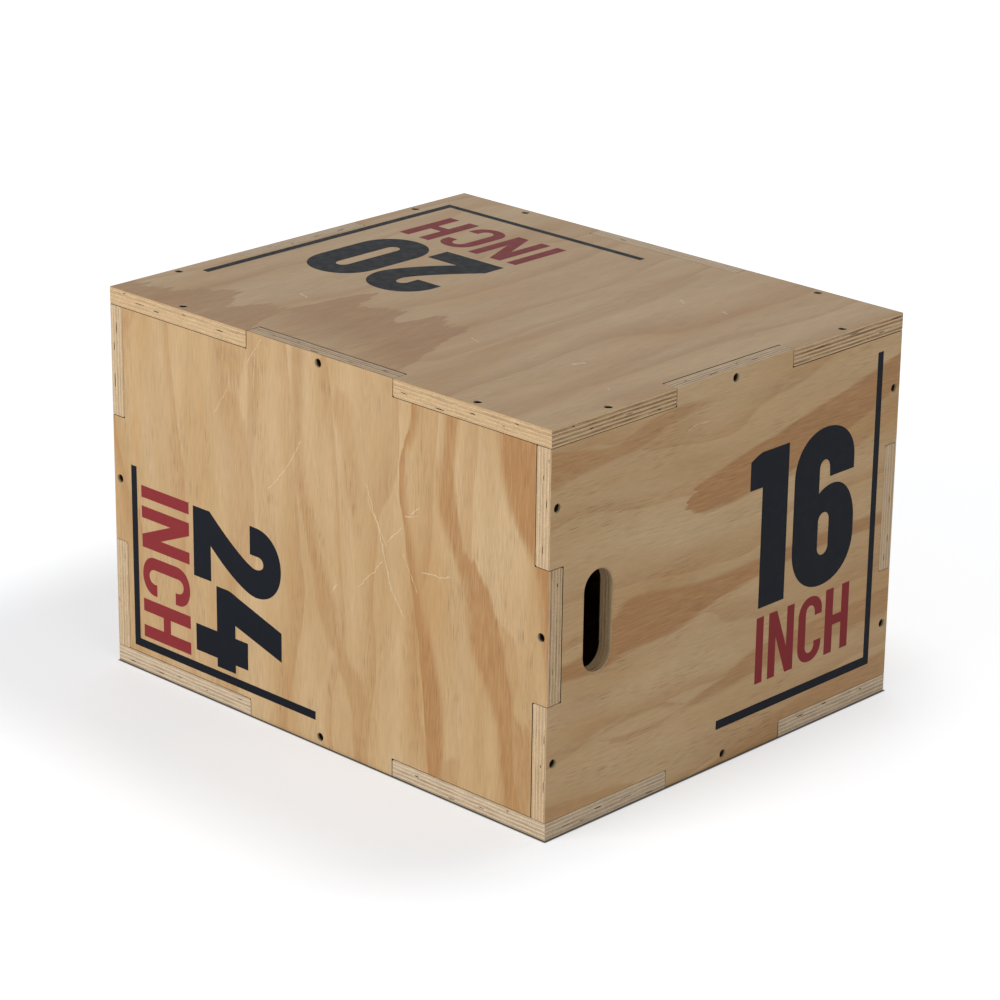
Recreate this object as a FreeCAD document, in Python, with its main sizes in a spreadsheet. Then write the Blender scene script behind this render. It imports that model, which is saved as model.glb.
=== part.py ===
import FreeCAD, Part
import math
import os
import re
from enum import IntEnum

import Sketcher

# A plyometric box with three standing heights: six plywood panels whose tabs and notches lock along
# every edge, drawn together by recessed wood screws, with a hand slot in each short side.
# Millimetres. +Z is up, +X runs along the length and -Y is the front. The origin is the middle of the base.

SIZES = {
    # Outside of the box
    "box_length": 609.6,
    "box_width": 508.0,
    "box_height": 406.4,
    # Plywood sheet, and how its edges are cut and sanded
    "ply_thickness": 18.0,
    "cutter_radius": 2.5,
    "edge_easing": 0.6,
    # Middle notch of an edge, named for the direction in which the edge runs
    "length_notch": 203.2,
    "width_notch": 169.3,
    "height_notch": 135.5,
    "tab_clearance": 0.4,
    # Hand slot: its long way is upright, and its setback runs from the front of the box to its middle
    "slot_width": 38.0,
    "slot_length": 102.0,
    "slot_setback": 68.0,
    "slot_rounding": 3.0,
    # Pan-head wood screw
    "head_diameter": 8.0,
    "head_height": 3.0,
    "head_rounding": 1.8,
    "recess_span": 4.6,
    "recess_width": 1.3,
    "recess_depth": 1.9,
    "screw_diameter": 4.2,
    "screw_length": 32.0,
    "shank_length": 12.0,
    "core_diameter": 3.0,
    "tip_length": 5.0,
    "thread_pitch": 2.6,
    "thread_root": 1.2,
    "thread_crest": 0.2,
    # Holes that take the screw
    "head_clearance": 0.5,
    "bore_depth": 8.0,
    "screw_clearance": 0.1,
    "pilot_room": 1.0,
}

# Formulas that several pieces share
HALF_LENGTH = "box_length / 2"
HALF_WIDTH = "box_width / 2"
HALF_HEIGHT = "box_height / 2"
MID_PLY = "ply_thickness / 2"
HOLE_DIAMETER = "screw_diameter + 2 * screw_clearance"
BORE_DIAMETER = "head_diameter + 2 * head_clearance"
PILOT_DEPTH = "bore_depth + screw_length + pilot_room - ply_thickness"
# Middle of the length of wood that is left on each side of a middle notch
LENGTH_TAB_MIDDLE = "(box_length + length_notch) / 4"
WIDTH_TAB_MIDDLE = "(box_width + width_notch) / 4"
HEIGHT_TAB_MIDDLE = "(box_height - 2 * ply_thickness + height_notch) / 4"

UNIT = {"X": FreeCAD.Vector(1, 0, 0), "Y": FreeCAD.Vector(0, 1, 0), "Z": FreeCAD.Vector(0, 0, 1)}
SHARP_DEGREES = 20
TOUCH = 1e-4


class Axis(IntEnum):
    """What a sketch calls its two axes. The first one's start is the sketch's origin."""

    ACROSS = -1
    UPRIGHT = -2


class Spot(IntEnum):
    """What a sketch calls the ends and the centre of a line, a circle or an arc."""

    START = 1
    END = 2
    CENTRE = 3


doc = FreeCAD.newDocument("plyo_box")
sheet = doc.addObject("Spreadsheet::Sheet", "sizes")
for row, (alias, size) in enumerate(SIZES.items(), start=1):
    sheet.set(f"A{row}", alias)
    sheet.set(f"B{row}", str(size))
    sheet.setAlias(f"B{row}", alias)
doc.recompute()


def cells(formula):
    """The formula with each size in it written as its cell."""
    return re.sub(r"[a-z]+(_[a-z]+)+", r"sizes.\g<0>", formula)


def value(formula):
    """What a formula comes to."""
    return float(sheet.evalExpression(cells(formula)))


def bind(item, path, formula):
    """Tie one property of an object to a formula of sizes."""
    item.setExpression(path, cells(formula))


def minus(formula):
    """The formula with its sign turned."""
    return f"-({formula})"


def both(formula):
    """A place on each side of the middle."""
    return [formula, minus(formula)]


def origin_plane(body, role):
    """One of a body's own three planes."""
    return next(plane for plane in body.Origin.OriginFeatures if plane.Role == role)


def sketch_on(body, name, role, lift="0"):
    """An empty sketch that lies a given height above one of the body's planes."""
    sketch = body.newObject("Sketcher::SketchObject", name)
    sketch.AttachmentSupport = [(origin_plane(body, role), "")]
    sketch.MapMode = "FlatFace"
    bind(sketch, ".AttachmentOffset.Base.z", lift)
    return sketch


def dimension(sketch, kind, places, formula):
    """Add one dimension to a sketch, tied to a formula."""
    index = sketch.addConstraint(Sketcher.Constraint(kind, *places, value(formula)))
    bind(sketch, f"Constraints[{index}]", formula)


def pin(sketch, geometry, point, place):
    """Hold a point of a sketch at its two distances from the origin."""
    origin = (Axis.ACROSS, Spot.START)
    for kind, axis, formula in zip(("DistanceX", "DistanceY"), (Axis.UPRIGHT, Axis.ACROSS), place):
        distance = value(formula)
        if distance == 0:
            sketch.addConstraint(Sketcher.Constraint("PointOnObject", geometry, point, axis))
        elif distance > 0:
            dimension(sketch, kind, (*origin, geometry, point), formula)
        else:
            dimension(sketch, kind, (geometry, point, *origin), minus(formula))


def spot(place):
    """The point of a sketch that two formulas give."""
    return FreeCAD.Vector(value(place[0]), value(place[1]))


def draw_outline(sketch, corners):
    """Draw a closed outline of straight lines through its corners."""
    points = [spot(corner) for corner in corners]
    following = list(range(1, len(points))) + [0]
    for line, after in enumerate(following):
        sketch.addGeometry(Part.LineSegment(points[line], points[after]))
    for line, after in enumerate(following):
        sketch.addConstraint(Sketcher.Constraint("Coincident", line, Spot.END, after, Spot.START))
        pin(sketch, line, Spot.START, corners[line])


def draw_circles(sketch, diameter, places):
    """Draw a circle of one diameter at each place."""
    for place in places:
        circle = sketch.addGeometry(Part.Circle(spot(place), UNIT["Z"], value(diameter) / 2))
        pin(sketch, circle, Spot.CENTRE, place)
        dimension(sketch, "Diameter", (circle,), diameter)


def draw_slot(sketch, middle, width, length):
    """Draw an upright slot with round ends, its middle at a given distance across."""
    straight = f"({length} - {width}) / 2"
    ends = [(middle, straight), (middle, minus(straight))]
    radius = value(width) / 2
    side = FreeCAD.Vector(radius, 0, 0)
    upper = Part.Circle(spot(ends[0]), UNIT["Z"], radius)
    lower = Part.Circle(spot(ends[1]), UNIT["Z"], radius)
    sketch.addGeometry(Part.ArcOfCircle(upper, 0, math.pi))
    sketch.addGeometry(Part.LineSegment(spot(ends[0]) - side, spot(ends[1]) - side))
    sketch.addGeometry(Part.ArcOfCircle(lower, math.pi, 2 * math.pi))
    sketch.addGeometry(Part.LineSegment(spot(ends[1]) + side, spot(ends[0]) + side))
    for piece, after in ((0, 1), (1, 2), (2, 3), (3, 0)):
        sketch.addConstraint(Sketcher.Constraint("Tangent", piece, Spot.END, after, Spot.START))
    sketch.addConstraint(Sketcher.Constraint("Equal", 0, 2))
    pin(sketch, 0, Spot.CENTRE, ends[0])
    pin(sketch, 2, Spot.CENTRE, ends[1])
    dimension(sketch, "Radius", (0,), f"{width} / 2")


def round_edges(body, name, radius, wanted):
    """Round those edges of the body that a test picks."""
    doc.recompute()
    feature = body.Tip
    names = [f"Edge{number}" for number, edge in enumerate(feature.Shape.Edges, start=1) if wanted(edge)]
    fillet = body.newObject("PartDesign::Fillet", name)
    fillet.Base = (feature, names)
    bind(fillet, "Radius", radius)
    doc.recompute()


def finish_cut(feature):
    """Recompute a cut, and stop if it took nothing away."""
    doc.recompute()
    if feature.Shape.Volume >= feature.BaseFeature.Shape.Volume:
        raise RuntimeError(f"{feature.Label} cuts nothing")


def is_sharp(shape, edge):
    """Whether the two faces beside an edge meet at an angle."""
    middle = edge.valueAt((edge.FirstParameter + edge.LastParameter) / 2)
    faces = shape.ancestorsOfType(edge, Part.Face)
    normals = [face.normalAt(*face.Surface.parameter(middle)) for face in faces]
    return math.degrees(normals[0].getAngle(normals[1])) > SHARP_DEGREES


class Panel:
    """A flat panel in its own frame: its middle at the origin, with its inner face down."""

    def __init__(self, name, along, up, out, half_depth):
        self.name = name
        self.along = along
        self.up = up
        self.out = out
        self.half_depth = half_depth

    def frame_axes(self):
        """The part's directions along the panel, up it and out of it."""
        return [UNIT[axis[1]] * (1 if axis[0] == "+" else -1) for axis in (self.along, self.up, self.out)]

    def in_box(self, along, up, out):
        """Where a place on the panel lies in the box: three formulas, for X, Y and Z."""
        place = {"X": "0", "Y": "0", "Z": HALF_HEIGHT}
        inner_face = f"{self.half_depth} - ply_thickness"
        for axis, formula in ((self.along, along), (self.up, up), (self.out, f"{inner_face} + {out}")):
            place[axis[1]] = f"{place[axis[1]]} {axis[0]} ({formula})"
        return [place[letter] for letter in "XYZ"]

    def edge_neighbours(self):
        """The direction of the panel that lies past each of the four edges."""
        turned = {"+": "-", "-": "+"}
        sides = {"right": self.along, "left": turned[self.along[0]] + self.along[1]}
        return {**sides, "top": self.up, "bottom": turned[self.up[0]] + self.up[1]}

    def build(self):
        """Cut the panel: outline, rounded corners, hand slot, screw bores and pilot holes."""
        body = doc.addObject("PartDesign::Body", self.name)
        sketch = sketch_on(body, f"{self.name}_outline", "XY_Plane")
        corners = self.corners()
        draw_outline(sketch, corners)
        pad = body.newObject("PartDesign::Pad", f"{self.name}_sheet")
        pad.Profile = sketch
        bind(pad, "Length", "ply_thickness")
        self.round_corners(body, [spot(corner) for corner in corners])
        self.cut_slot(body)
        self.bore_for_screws(body)
        for role, lift, places in self.pilots():
            self.drill_pilots(body, role, lift, places)
        body.Placement = FreeCAD.Placement(FreeCAD.Vector(), FreeCAD.Rotation(*self.frame_axes(), "XYZ"))
        for letter, formula in zip("xyz", self.in_box("0", "0", "0")):
            bind(body, f".Placement.Base.{letter}", formula)
        return body

    def round_corners(self, body, points):
        """Round the corners that the cutter leaves, the arrises that seat in them, and every other edge."""
        inward = []
        for before, point, after in zip(points[-1:] + points[:-1], points, points[1:] + points[:1]):
            if (point - before).cross(after - point).z < 0:
                inward.append(point)

        def is_inward(edge):
            ends = [vertex.Point for vertex in edge.Vertexes]
            upright = (ends[0] - ends[1]).cross(UNIT["Z"]).Length < TOUCH
            return upright and any((ends[0] - point).cross(UNIT["Z"]).Length < TOUCH for point in inward)

        def meets_an_inward_corner(edge):
            on_inner_face = edge.BoundBox.ZMax < TOUCH
            reach = value("cutter_radius") + TOUCH
            return on_inner_face and any(
                (vertex.Point - point).Length < reach for vertex in edge.Vertexes for point in inward
            )

        round_edges(body, f"{self.name}_cutter_corners", "cutter_radius", is_inward)
        round_edges(body, f"{self.name}_seating_arrises", "cutter_radius", meets_an_inward_corner)
        shape = body.Tip.Shape
        round_edges(body, f"{self.name}_easing", "edge_easing", lambda edge: is_sharp(shape, edge))

    def cut_slot(self, body):
        """A panel without a hand slot is left whole."""

    def bore_for_screws(self, body):
        """Bore the hole and the wide recess of each screw that goes in through the outer face."""
        sketch = sketch_on(body, f"{self.name}_screw_places", "XY_Plane", "ply_thickness")
        places = [place for edge_places in self.screws().values() for place in edge_places]
        draw_circles(sketch, HOLE_DIAMETER, places)
        doc.recompute()
        hole = body.newObject("PartDesign::Hole", f"{self.name}_screw_bores")
        hole.Profile = sketch
        hole.DepthType = "ThroughAll"
        hole.HoleCutType = "Counterbore"
        bind(hole, "Diameter", HOLE_DIAMETER)
        bind(hole, "HoleCutDiameter", BORE_DIAMETER)
        bind(hole, "HoleCutDepth", "bore_depth")
        finish_cut(hole)

    def drill_pilots(self, body, role, lift, places):
        """Drill the holes in two opposite edges, where the neighbours' screws bite."""
        name = f"{self.name}_{role[:2].lower()}_pilots"
        sketch = sketch_on(body, f"{name}_places", role, f"{lift} - ply_thickness")
        draw_circles(sketch, HOLE_DIAMETER, places)
        pocket = body.newObject("PartDesign::Pocket", name)
        pocket.Profile = sketch
        bind(pocket, "Length", PILOT_DEPTH)
        finish_cut(pocket)
        mirrored = body.newObject("PartDesign::Mirrored", f"{name}_far_edge")
        mirrored.Originals = [pocket]
        mirrored.MirrorPlane = (origin_plane(body, role), [""])
        body.Tip = mirrored
        finish_cut(mirrored)


class DeckPanel(Panel):
    """Top or bottom: it owns the corners of the box, and has a notch in the middle of each edge."""

    def corners(self):
        """The outline, anticlockwise from the lower left corner."""
        length, width = HALF_LENGTH, HALF_WIDTH
        along, up = "length_notch / 2", "width_notch / 2"
        length_floor = f"{HALF_LENGTH} - ply_thickness - tab_clearance"
        width_floor = f"{HALF_WIDTH} - ply_thickness - tab_clearance"
        near = [(minus(length), minus(width)), (minus(along), minus(width))]
        near += [(minus(along), minus(width_floor)), (along, minus(width_floor)), (along, minus(width))]
        right = [(length, minus(width)), (length, minus(up)), (length_floor, minus(up)), (length_floor, up)]
        return half_turned(near + right + [(length, up)])

    def screws(self):
        """Each screw goes through the middle of a corner tab, over the middle of the panel below it."""
        over_width = f"{HALF_WIDTH} - {MID_PLY}"
        over_length = f"{HALF_LENGTH} - {MID_PLY}"
        return {
            "top": [(along, over_width) for along in both(LENGTH_TAB_MIDDLE)],
            "bottom": [(along, minus(over_width)) for along in both(LENGTH_TAB_MIDDLE)],
            "right": [(over_length, up) for up in both(WIDTH_TAB_MIDDLE)],
            "left": [(minus(over_length), up) for up in both(WIDTH_TAB_MIDDLE)],
        }

    def pilots(self):
        """One hole in the floor of each notch."""
        return [("XZ_Plane", HALF_WIDTH, [("0", MID_PLY)]), ("YZ_Plane", HALF_LENGTH, [("0", MID_PLY)])]


class LongSide(Panel):
    """Front or back: a tab in the middle of each edge."""

    def corners(self):
        """The outline, anticlockwise from the lower left corner."""
        length, height = HALF_LENGTH, HALF_HEIGHT
        along, up = "length_notch / 2 - tab_clearance", "height_notch / 2 - tab_clearance"
        length_shoulder = f"{HALF_LENGTH} - ply_thickness"
        height_shoulder = f"{HALF_HEIGHT} - ply_thickness"
        near = [(minus(length_shoulder), minus(height_shoulder)), (minus(along), minus(height_shoulder))]
        near += [(minus(along), minus(height)), (along, minus(height)), (along, minus(height_shoulder))]
        right = [(length_shoulder, minus(height_shoulder)), (length_shoulder, minus(up))]
        return half_turned(near + right + [(length, minus(up)), (length, up), (length_shoulder, up)])

    def screws(self):
        """One screw in the middle of each tab."""
        return {
            "top": [("0", f"{HALF_HEIGHT} - {MID_PLY}")],
            "bottom": [("0", minus(f"{HALF_HEIGHT} - {MID_PLY}"))],
            "right": [(f"{HALF_LENGTH} - {MID_PLY}", "0")],
            "left": [(minus(f"{HALF_LENGTH} - {MID_PLY}"), "0")],
        }

    def pilots(self):
        """Two holes in each edge, beside its tab."""
        level = [(along, MID_PLY) for along in both(LENGTH_TAB_MIDDLE)]
        upright = [(up, MID_PLY) for up in both(HEIGHT_TAB_MIDDLE)]
        return [("XZ_Plane", HALF_HEIGHT, level), ("YZ_Plane", HALF_LENGTH, upright)]


class ShortSide(Panel):
    """Left or right: tabs at top and bottom, a notch in each upright edge, and a hand slot."""

    def corners(self):
        """The outline, anticlockwise from the lower left corner."""
        width, height = HALF_WIDTH, HALF_HEIGHT
        along, up = "width_notch / 2 - tab_clearance", "height_notch / 2"
        width_floor = f"{HALF_WIDTH} - ply_thickness"
        height_shoulder = f"{HALF_HEIGHT} - ply_thickness"
        near = [(minus(width), minus(height_shoulder)), (minus(along), minus(height_shoulder))]
        near += [(minus(along), minus(height)), (along, minus(height)), (along, minus(height_shoulder))]
        right = [(width, minus(height_shoulder)), (width, minus(up)), (width_floor, minus(up))]
        return half_turned(near + right + [(width_floor, up), (width, up)])

    def cut_slot(self, body):
        """Cut the hand slot near the front of the box, and round its two rims."""
        towards_front = minus if self.along == "+Y" else str
        middle = towards_front(f"{HALF_WIDTH} - slot_setback")
        sketch = sketch_on(body, f"{self.name}_slot_outline", "XY_Plane", "ply_thickness")
        draw_slot(sketch, middle, "slot_width", "slot_length")
        pocket = body.newObject("PartDesign::Pocket", f"{self.name}_hand_slot")
        pocket.Profile = sketch
        pocket.Type = "ThroughAll"
        finish_cut(pocket)
        opening = sketch.Shape.BoundBox
        opening.add(FreeCAD.Vector(opening.XMin, opening.YMin, 0))
        opening.add(FreeCAD.Vector(opening.XMin, opening.YMin, value("ply_thickness")))
        opening.enlarge(TOUCH)

        def is_rim(edge):
            return edge.BoundBox.ZLength < TOUCH and opening.isInside(edge.BoundBox)

        round_edges(body, f"{self.name}_slot_rims", "slot_rounding", is_rim)

    def screws(self):
        """One screw in the top and bottom tabs, and one in each upright tab."""
        over_width = f"{HALF_WIDTH} - {MID_PLY}"
        return {
            "top": [("0", f"{HALF_HEIGHT} - {MID_PLY}")],
            "bottom": [("0", minus(f"{HALF_HEIGHT} - {MID_PLY}"))],
            "right": [(over_width, up) for up in both(HEIGHT_TAB_MIDDLE)],
            "left": [(minus(over_width), up) for up in both(HEIGHT_TAB_MIDDLE)],
        }

    def pilots(self):
        """Two holes in the top and bottom edges, and one in the floor of each notch."""
        level = [(along, MID_PLY) for along in both(WIDTH_TAB_MIDDLE)]
        return [("XZ_Plane", HALF_HEIGHT, level), ("YZ_Plane", HALF_WIDTH, [("0", MID_PLY)])]


def half_turned(corners):
    """Half of an outline, and the same half turned about the middle."""
    return corners + [(minus(along), minus(up)) for along, up in corners]


def build_screw():
    """A pan-head wood screw, its head's seat at zero and its point down."""
    body = doc.addObject("PartDesign::Body", "wood_screw")
    sketch = sketch_on(body, "screw_profile", "XZ_Plane")
    neck = minus("shank_length")
    shoulder = "tip_length - screw_length"
    profile = [("0", "head_height"), ("0", minus("screw_length")), ("core_diameter / 2", shoulder)]
    profile += [("core_diameter / 2", neck), ("screw_diameter / 2", neck), ("screw_diameter / 2", "0")]
    draw_outline(sketch, profile + [("head_diameter / 2", "0"), ("head_diameter / 2", "head_height")])
    turned = body.newObject("PartDesign::Revolution", "screw_blank")
    turned.Profile = sketch
    turned.ReferenceAxis = (sketch, ["V_Axis"])
    body.Tip = turned
    top = value("head_height") - TOUCH
    round_edges(body, "head_crown", "head_rounding", lambda edge: edge.BoundBox.ZMin > top)
    add_thread(body, shoulder)
    cut_recess(body)
    return body


def add_thread(body, lowest):
    """Ring the core with ridges, one pitch apart, from the point up to the smooth shank."""
    sketch = sketch_on(body, "thread_profile", "XZ_Plane")
    inside_core = "core_diameter / 4"
    crest = "screw_diameter / 2"
    lower = [(inside_core, f"{lowest} - thread_root / 2"), (crest, f"{lowest} - thread_crest / 2")]
    upper = [(crest, f"{lowest} + thread_crest / 2"), (inside_core, f"{lowest} + thread_root / 2")]
    draw_outline(sketch, lower + upper)
    ring = body.newObject("PartDesign::Revolution", "thread_ridge")
    ring.Profile = sketch
    ring.ReferenceAxis = (sketch, ["V_Axis"])
    body.Tip = ring
    doc.recompute()
    thread = body.newObject("PartDesign::LinearPattern", "thread")
    thread.Originals = [ring]
    thread.Direction = (sketch, ["V_Axis"])
    count = "floor((screw_length - tip_length - shank_length) / thread_pitch)"
    bind(thread, "Occurrences", count)
    bind(thread, "Length", f"thread_pitch * ({count} - 1)")
    body.Tip = thread
    doc.recompute()


def cut_recess(body):
    """Cut the cross recess into the head."""
    sketch = sketch_on(body, "recess_outline", "XY_Plane", "head_height")
    thin, reach = "recess_width / 2", "recess_span / 2"
    arm = [(minus(thin), minus(reach)), (thin, minus(reach)), (thin, minus(thin))]
    draw_outline(sketch, half_turned(arm + [(reach, minus(thin)), (reach, thin), (thin, thin)]))
    pocket = body.newObject("PartDesign::Pocket", "cross_recess")
    pocket.Profile = sketch
    bind(pocket, "Length", "recess_depth")
    finish_cut(pocket)


PANELS = {
    "+Z": DeckPanel("top_panel", "+X", "+Y", "+Z", HALF_HEIGHT),
    "-Z": DeckPanel("bottom_panel", "+X", "-Y", "-Z", HALF_HEIGHT),
    "-Y": LongSide("front_panel", "+X", "+Z", "-Y", HALF_WIDTH),
    "+Y": LongSide("back_panel", "-X", "+Z", "+Y", HALF_WIDTH),
    "-X": ShortSide("left_panel", "-Y", "+Z", "-X", HALF_LENGTH),
    "+X": ShortSide("right_panel", "+Y", "+Z", "+X", HALF_LENGTH),
}


def place_screws(screw):
    """Put a screw in every bore, and group the screws by the joint that they draw together."""
    joints = {}
    order = list(PANELS)
    for facing, panel in PANELS.items():
        neighbours = panel.edge_neighbours()
        for edge, places in panel.screws().items():
            pair = sorted((facing, neighbours[edge]), key=order.index)
            names = [PANELS[side].name.removesuffix("_panel") for side in pair]
            group = joints.setdefault("_".join(names + ["screws"]), [])
            group += [(panel, place) for place in places]
    groups = []
    for name, members in joints.items():
        copies = []
        for panel, (along, up) in members:
            copy = doc.addObject("App::Link", f"{name}_{len(copies) + 1}")
            copy.LinkedObject = screw
            turn = FreeCAD.Rotation(*panel.frame_axes(), "XYZ")
            copy.Placement = FreeCAD.Placement(FreeCAD.Vector(), turn)
            for letter, formula in zip("xyz", panel.in_box(along, up, "ply_thickness - bore_depth")):
                bind(copy, f".Placement.Base.{letter}", formula)
            copies.append(copy)
        group = doc.addObject("Part::Compound", name)
        group.Links = copies
        groups.append(group)
    return groups


def check(subparts):
    """Stop if any object failed to build or any sub-part has no sound shape."""
    for item in doc.Objects:
        if "Invalid" in item.State or "Error" in item.State:
            raise RuntimeError(f"{item.Label} failed to build")
    for item in subparts:
        if item.Shape.isNull() or not item.Shape.isValid():
            raise RuntimeError(f"{item.Label} has no sound shape")


def main():
    """Build every piece, check it, and write each one to its own file."""
    panels = [panel.build() for panel in PANELS.values()]
    subparts = panels + place_screws(build_screw())
    doc.recompute()
    check(subparts)
    os.makedirs("parts", exist_ok=True)
    for item in subparts:
        item.Shape.exportStep(f"parts/{item.Label}.step")
        print(f"{item.Label}: {len(item.Shape.Solids)} solids, {item.Shape.Volume:.0f} mm3")


main()
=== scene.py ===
import logging
import math
import random
from collections.abc import Iterator
from dataclasses import dataclass
from enum import Enum
from functools import cache, cached_property

import bmesh
import bpy
from bpy.types import Curve, Material, Mesh, NodeOutputs, NodeSocket, NodeTree, Object
from mathutils import Matrix, Vector


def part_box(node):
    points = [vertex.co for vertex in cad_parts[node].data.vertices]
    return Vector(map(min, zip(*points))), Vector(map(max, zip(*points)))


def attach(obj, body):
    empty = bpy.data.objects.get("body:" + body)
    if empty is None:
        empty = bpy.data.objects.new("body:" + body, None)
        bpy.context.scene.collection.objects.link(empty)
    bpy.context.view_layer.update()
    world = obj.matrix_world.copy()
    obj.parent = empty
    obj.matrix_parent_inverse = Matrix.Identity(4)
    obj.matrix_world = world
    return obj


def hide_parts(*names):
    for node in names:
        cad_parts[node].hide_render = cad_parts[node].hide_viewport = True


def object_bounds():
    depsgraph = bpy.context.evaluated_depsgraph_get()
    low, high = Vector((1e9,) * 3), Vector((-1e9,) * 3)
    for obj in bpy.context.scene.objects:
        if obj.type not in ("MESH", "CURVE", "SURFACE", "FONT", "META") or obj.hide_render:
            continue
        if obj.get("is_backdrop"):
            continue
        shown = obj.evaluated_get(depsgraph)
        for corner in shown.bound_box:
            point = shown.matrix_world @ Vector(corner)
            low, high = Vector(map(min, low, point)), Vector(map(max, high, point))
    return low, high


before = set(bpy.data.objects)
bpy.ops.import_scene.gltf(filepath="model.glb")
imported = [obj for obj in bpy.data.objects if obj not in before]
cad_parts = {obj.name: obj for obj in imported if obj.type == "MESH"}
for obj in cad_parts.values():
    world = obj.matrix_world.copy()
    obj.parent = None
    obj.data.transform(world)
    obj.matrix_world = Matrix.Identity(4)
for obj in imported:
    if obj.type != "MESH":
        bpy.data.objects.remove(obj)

# The looks of a plywood jump box with three standing heights. Sizes are millimetres unless a comment says
# otherwise.
CAD_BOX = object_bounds()
BODY = "root"
MM = 0.001
# Points this close are one point, and places this close lie on one level, both in metres
WELD = MM / 1000
CLOSE = MM / 100
# The places of a Mix node's sockets when it blends colours
SHARE, UNDER, OVER, BLEND = 0, 6, 7, 2
# Nearly all of a noise lies between these
NOISE_SPAN = (0.25, 0.75)

log = logging.getLogger("plyo_box")


def linear(colour: str) -> tuple[float, float, float, float]:
    """Turn an sRGB hex colour into a linear one.

    Args:
        colour: The colour as #RRGGBB.

    Returns:
        Linear red, green and blue, and an alpha of one.
    """
    shares = [int(colour[place:place + 2], 16) / 255 for place in (1, 3, 5)]
    red, green, blue = (c / 12.92 if c <= 0.04045 else ((c + 0.055) / 1.055) ** 2.4 for c in shares)
    return red, green, blue, 1.0


def add_node(
    tree: NodeTree, kind: str, feeds: dict | tuple = (), out: int | str | None = 0, **settings: object
) -> NodeSocket | None:
    """Add a node to a tree, set it up and feed its inputs.

    Args:
        tree: The tree that gets the node.
        kind: The node's type.
        feeds: A value or another node's output for each input, by place or by name.
        out: Which output to give back, or None where the node has none.
        settings: The node's own properties.

    Returns:
        The output that was asked for.
    """
    node = tree.nodes.new(kind)
    for name, value in settings.items():
        setattr(node, name, value)
    for key, value in feeds.items() if isinstance(feeds, dict) else enumerate(feeds):
        if isinstance(value, NodeSocket):
            tree.links.new(value, node.inputs[key])
        else:
            node.inputs[key].default_value = value
    return None if out is None else node.outputs[out]


def new_material(name: str) -> tuple[Material, NodeTree]:
    """Make an empty node material.

    Args:
        name: The material's name.

    Returns:
        The material and its node tree.
    """
    material = bpy.data.materials.new(name)
    material.use_nodes = True
    material.node_tree.nodes.clear()
    return material, material.node_tree


def plain_mesh(thing: Object) -> Mesh:
    """What an object's modifiers or curves come to, as a mesh of its own."""
    depsgraph = bpy.context.evaluated_depsgraph_get()
    return bpy.data.meshes.new_from_object(thing.evaluated_get(depsgraph), depsgraph=depsgraph)


def add_object(name: str, data: bpy.types.ID | None) -> Object:
    """Put a new object into the scene."""
    thing = bpy.data.objects.new(name, data)
    bpy.context.scene.collection.objects.link(thing)
    return thing


def finish_piece(piece: Object, nodes: tuple[str, ...] = ()) -> None:
    """Tie a finished piece to the frame and report it.

    Args:
        piece: The piece, in its place.
        nodes: The solids that it stands for.
    """
    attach(piece, BODY)
    if nodes:
        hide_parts(*nodes)
    stands_for = ", ".join(nodes) or "itself"
    log.info("%s: %d faces, stands for %s", piece.name, len(piece.data.polygons), stands_for)


class Side(Enum):
    """A face of the box, with its right and its down as seen from outside."""

    FRONT = ("front", (1, 0, 0), (0, 0, -1))
    RIGHT = ("right", (0, 1, 0), (0, 0, -1))
    BACK = ("back", (-1, 0, 0), (0, 0, -1))
    LEFT = ("left", (0, -1, 0), (0, 0, -1))
    TOP = ("top", (1, 0, 0), (0, -1, 0))
    BOTTOM = ("bottom", (1, 0, 0), (0, 1, 0))

    @property
    def label(self) -> str:
        """The side's word in the names of pieces."""
        return self.value[0]

    @property
    def panel(self) -> str:
        """The panel's node."""
        return f"{self.label}_panel"

    @property
    def right(self) -> Vector:
        """To the right on the face."""
        return Vector(self.value[1])

    @property
    def down(self) -> Vector:
        """Down the face."""
        return Vector(self.value[2])

    @property
    def inward(self) -> Vector:
        """Into the wood."""
        return self.right.cross(self.down)


class Grain(Enum):
    """Which way the fibres of a panel's face veneer run, as seen from outside."""

    LEVEL = "level"
    UPRIGHT = "upright"


class Course(Enum):
    """Whether the stations of a streak are counted along the fibres or across them."""

    WITH_GRAIN = "with grain"
    ACROSS_GRAIN = "across grain"


class Turn(Enum):
    """How a print stands on its face, in quarter turns clockwise."""

    UPRIGHT = 0
    CLOCKWISE = 1
    UPSIDE_DOWN = 2


@dataclass(frozen=True)
class FaceFrame:
    """A frame on the outside of a panel: right, down and inwards from the face's upper left corner."""

    side: Side

    @cached_property
    def corner(self) -> Vector:
        """The face's upper left corner, in metres."""
        low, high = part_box(self.side.panel)
        onward = self.side.right + self.side.down + self.side.inward
        return Vector(low[axis] if onward[axis] > 0 else high[axis] for axis in range(3))

    @cached_property
    def size(self) -> tuple[float, float, float]:
        """The panel's width, height and thickness."""
        low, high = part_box(self.side.panel)
        axes = (self.side.right, self.side.down, self.side.inward)
        width, height, thickness = (abs(axis.dot(high - low)) / MM for axis in axes)
        return width, height, thickness

    @property
    def turn(self) -> Matrix:
        """The rotation from the part's axes to the face's."""
        return Matrix((self.side.right, self.side.down, self.side.inward))

    def to_part(self) -> Matrix:
        """The matrix from millimetres on the face to metres in the part."""
        return Matrix.Translation(self.corner) @ self.turn.transposed().to_4x4() @ Matrix.Scale(MM, 4)

    def mapping(self) -> dict[str, object]:
        """What a Mapping node needs to turn places in the part into millimetres on the face."""
        return {
            "Location": -(self.turn @ self.corner) / MM,
            "Rotation": self.turn.to_euler(),
            "Scale": Vector((1, 1, 1)) / MM,
        }


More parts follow.
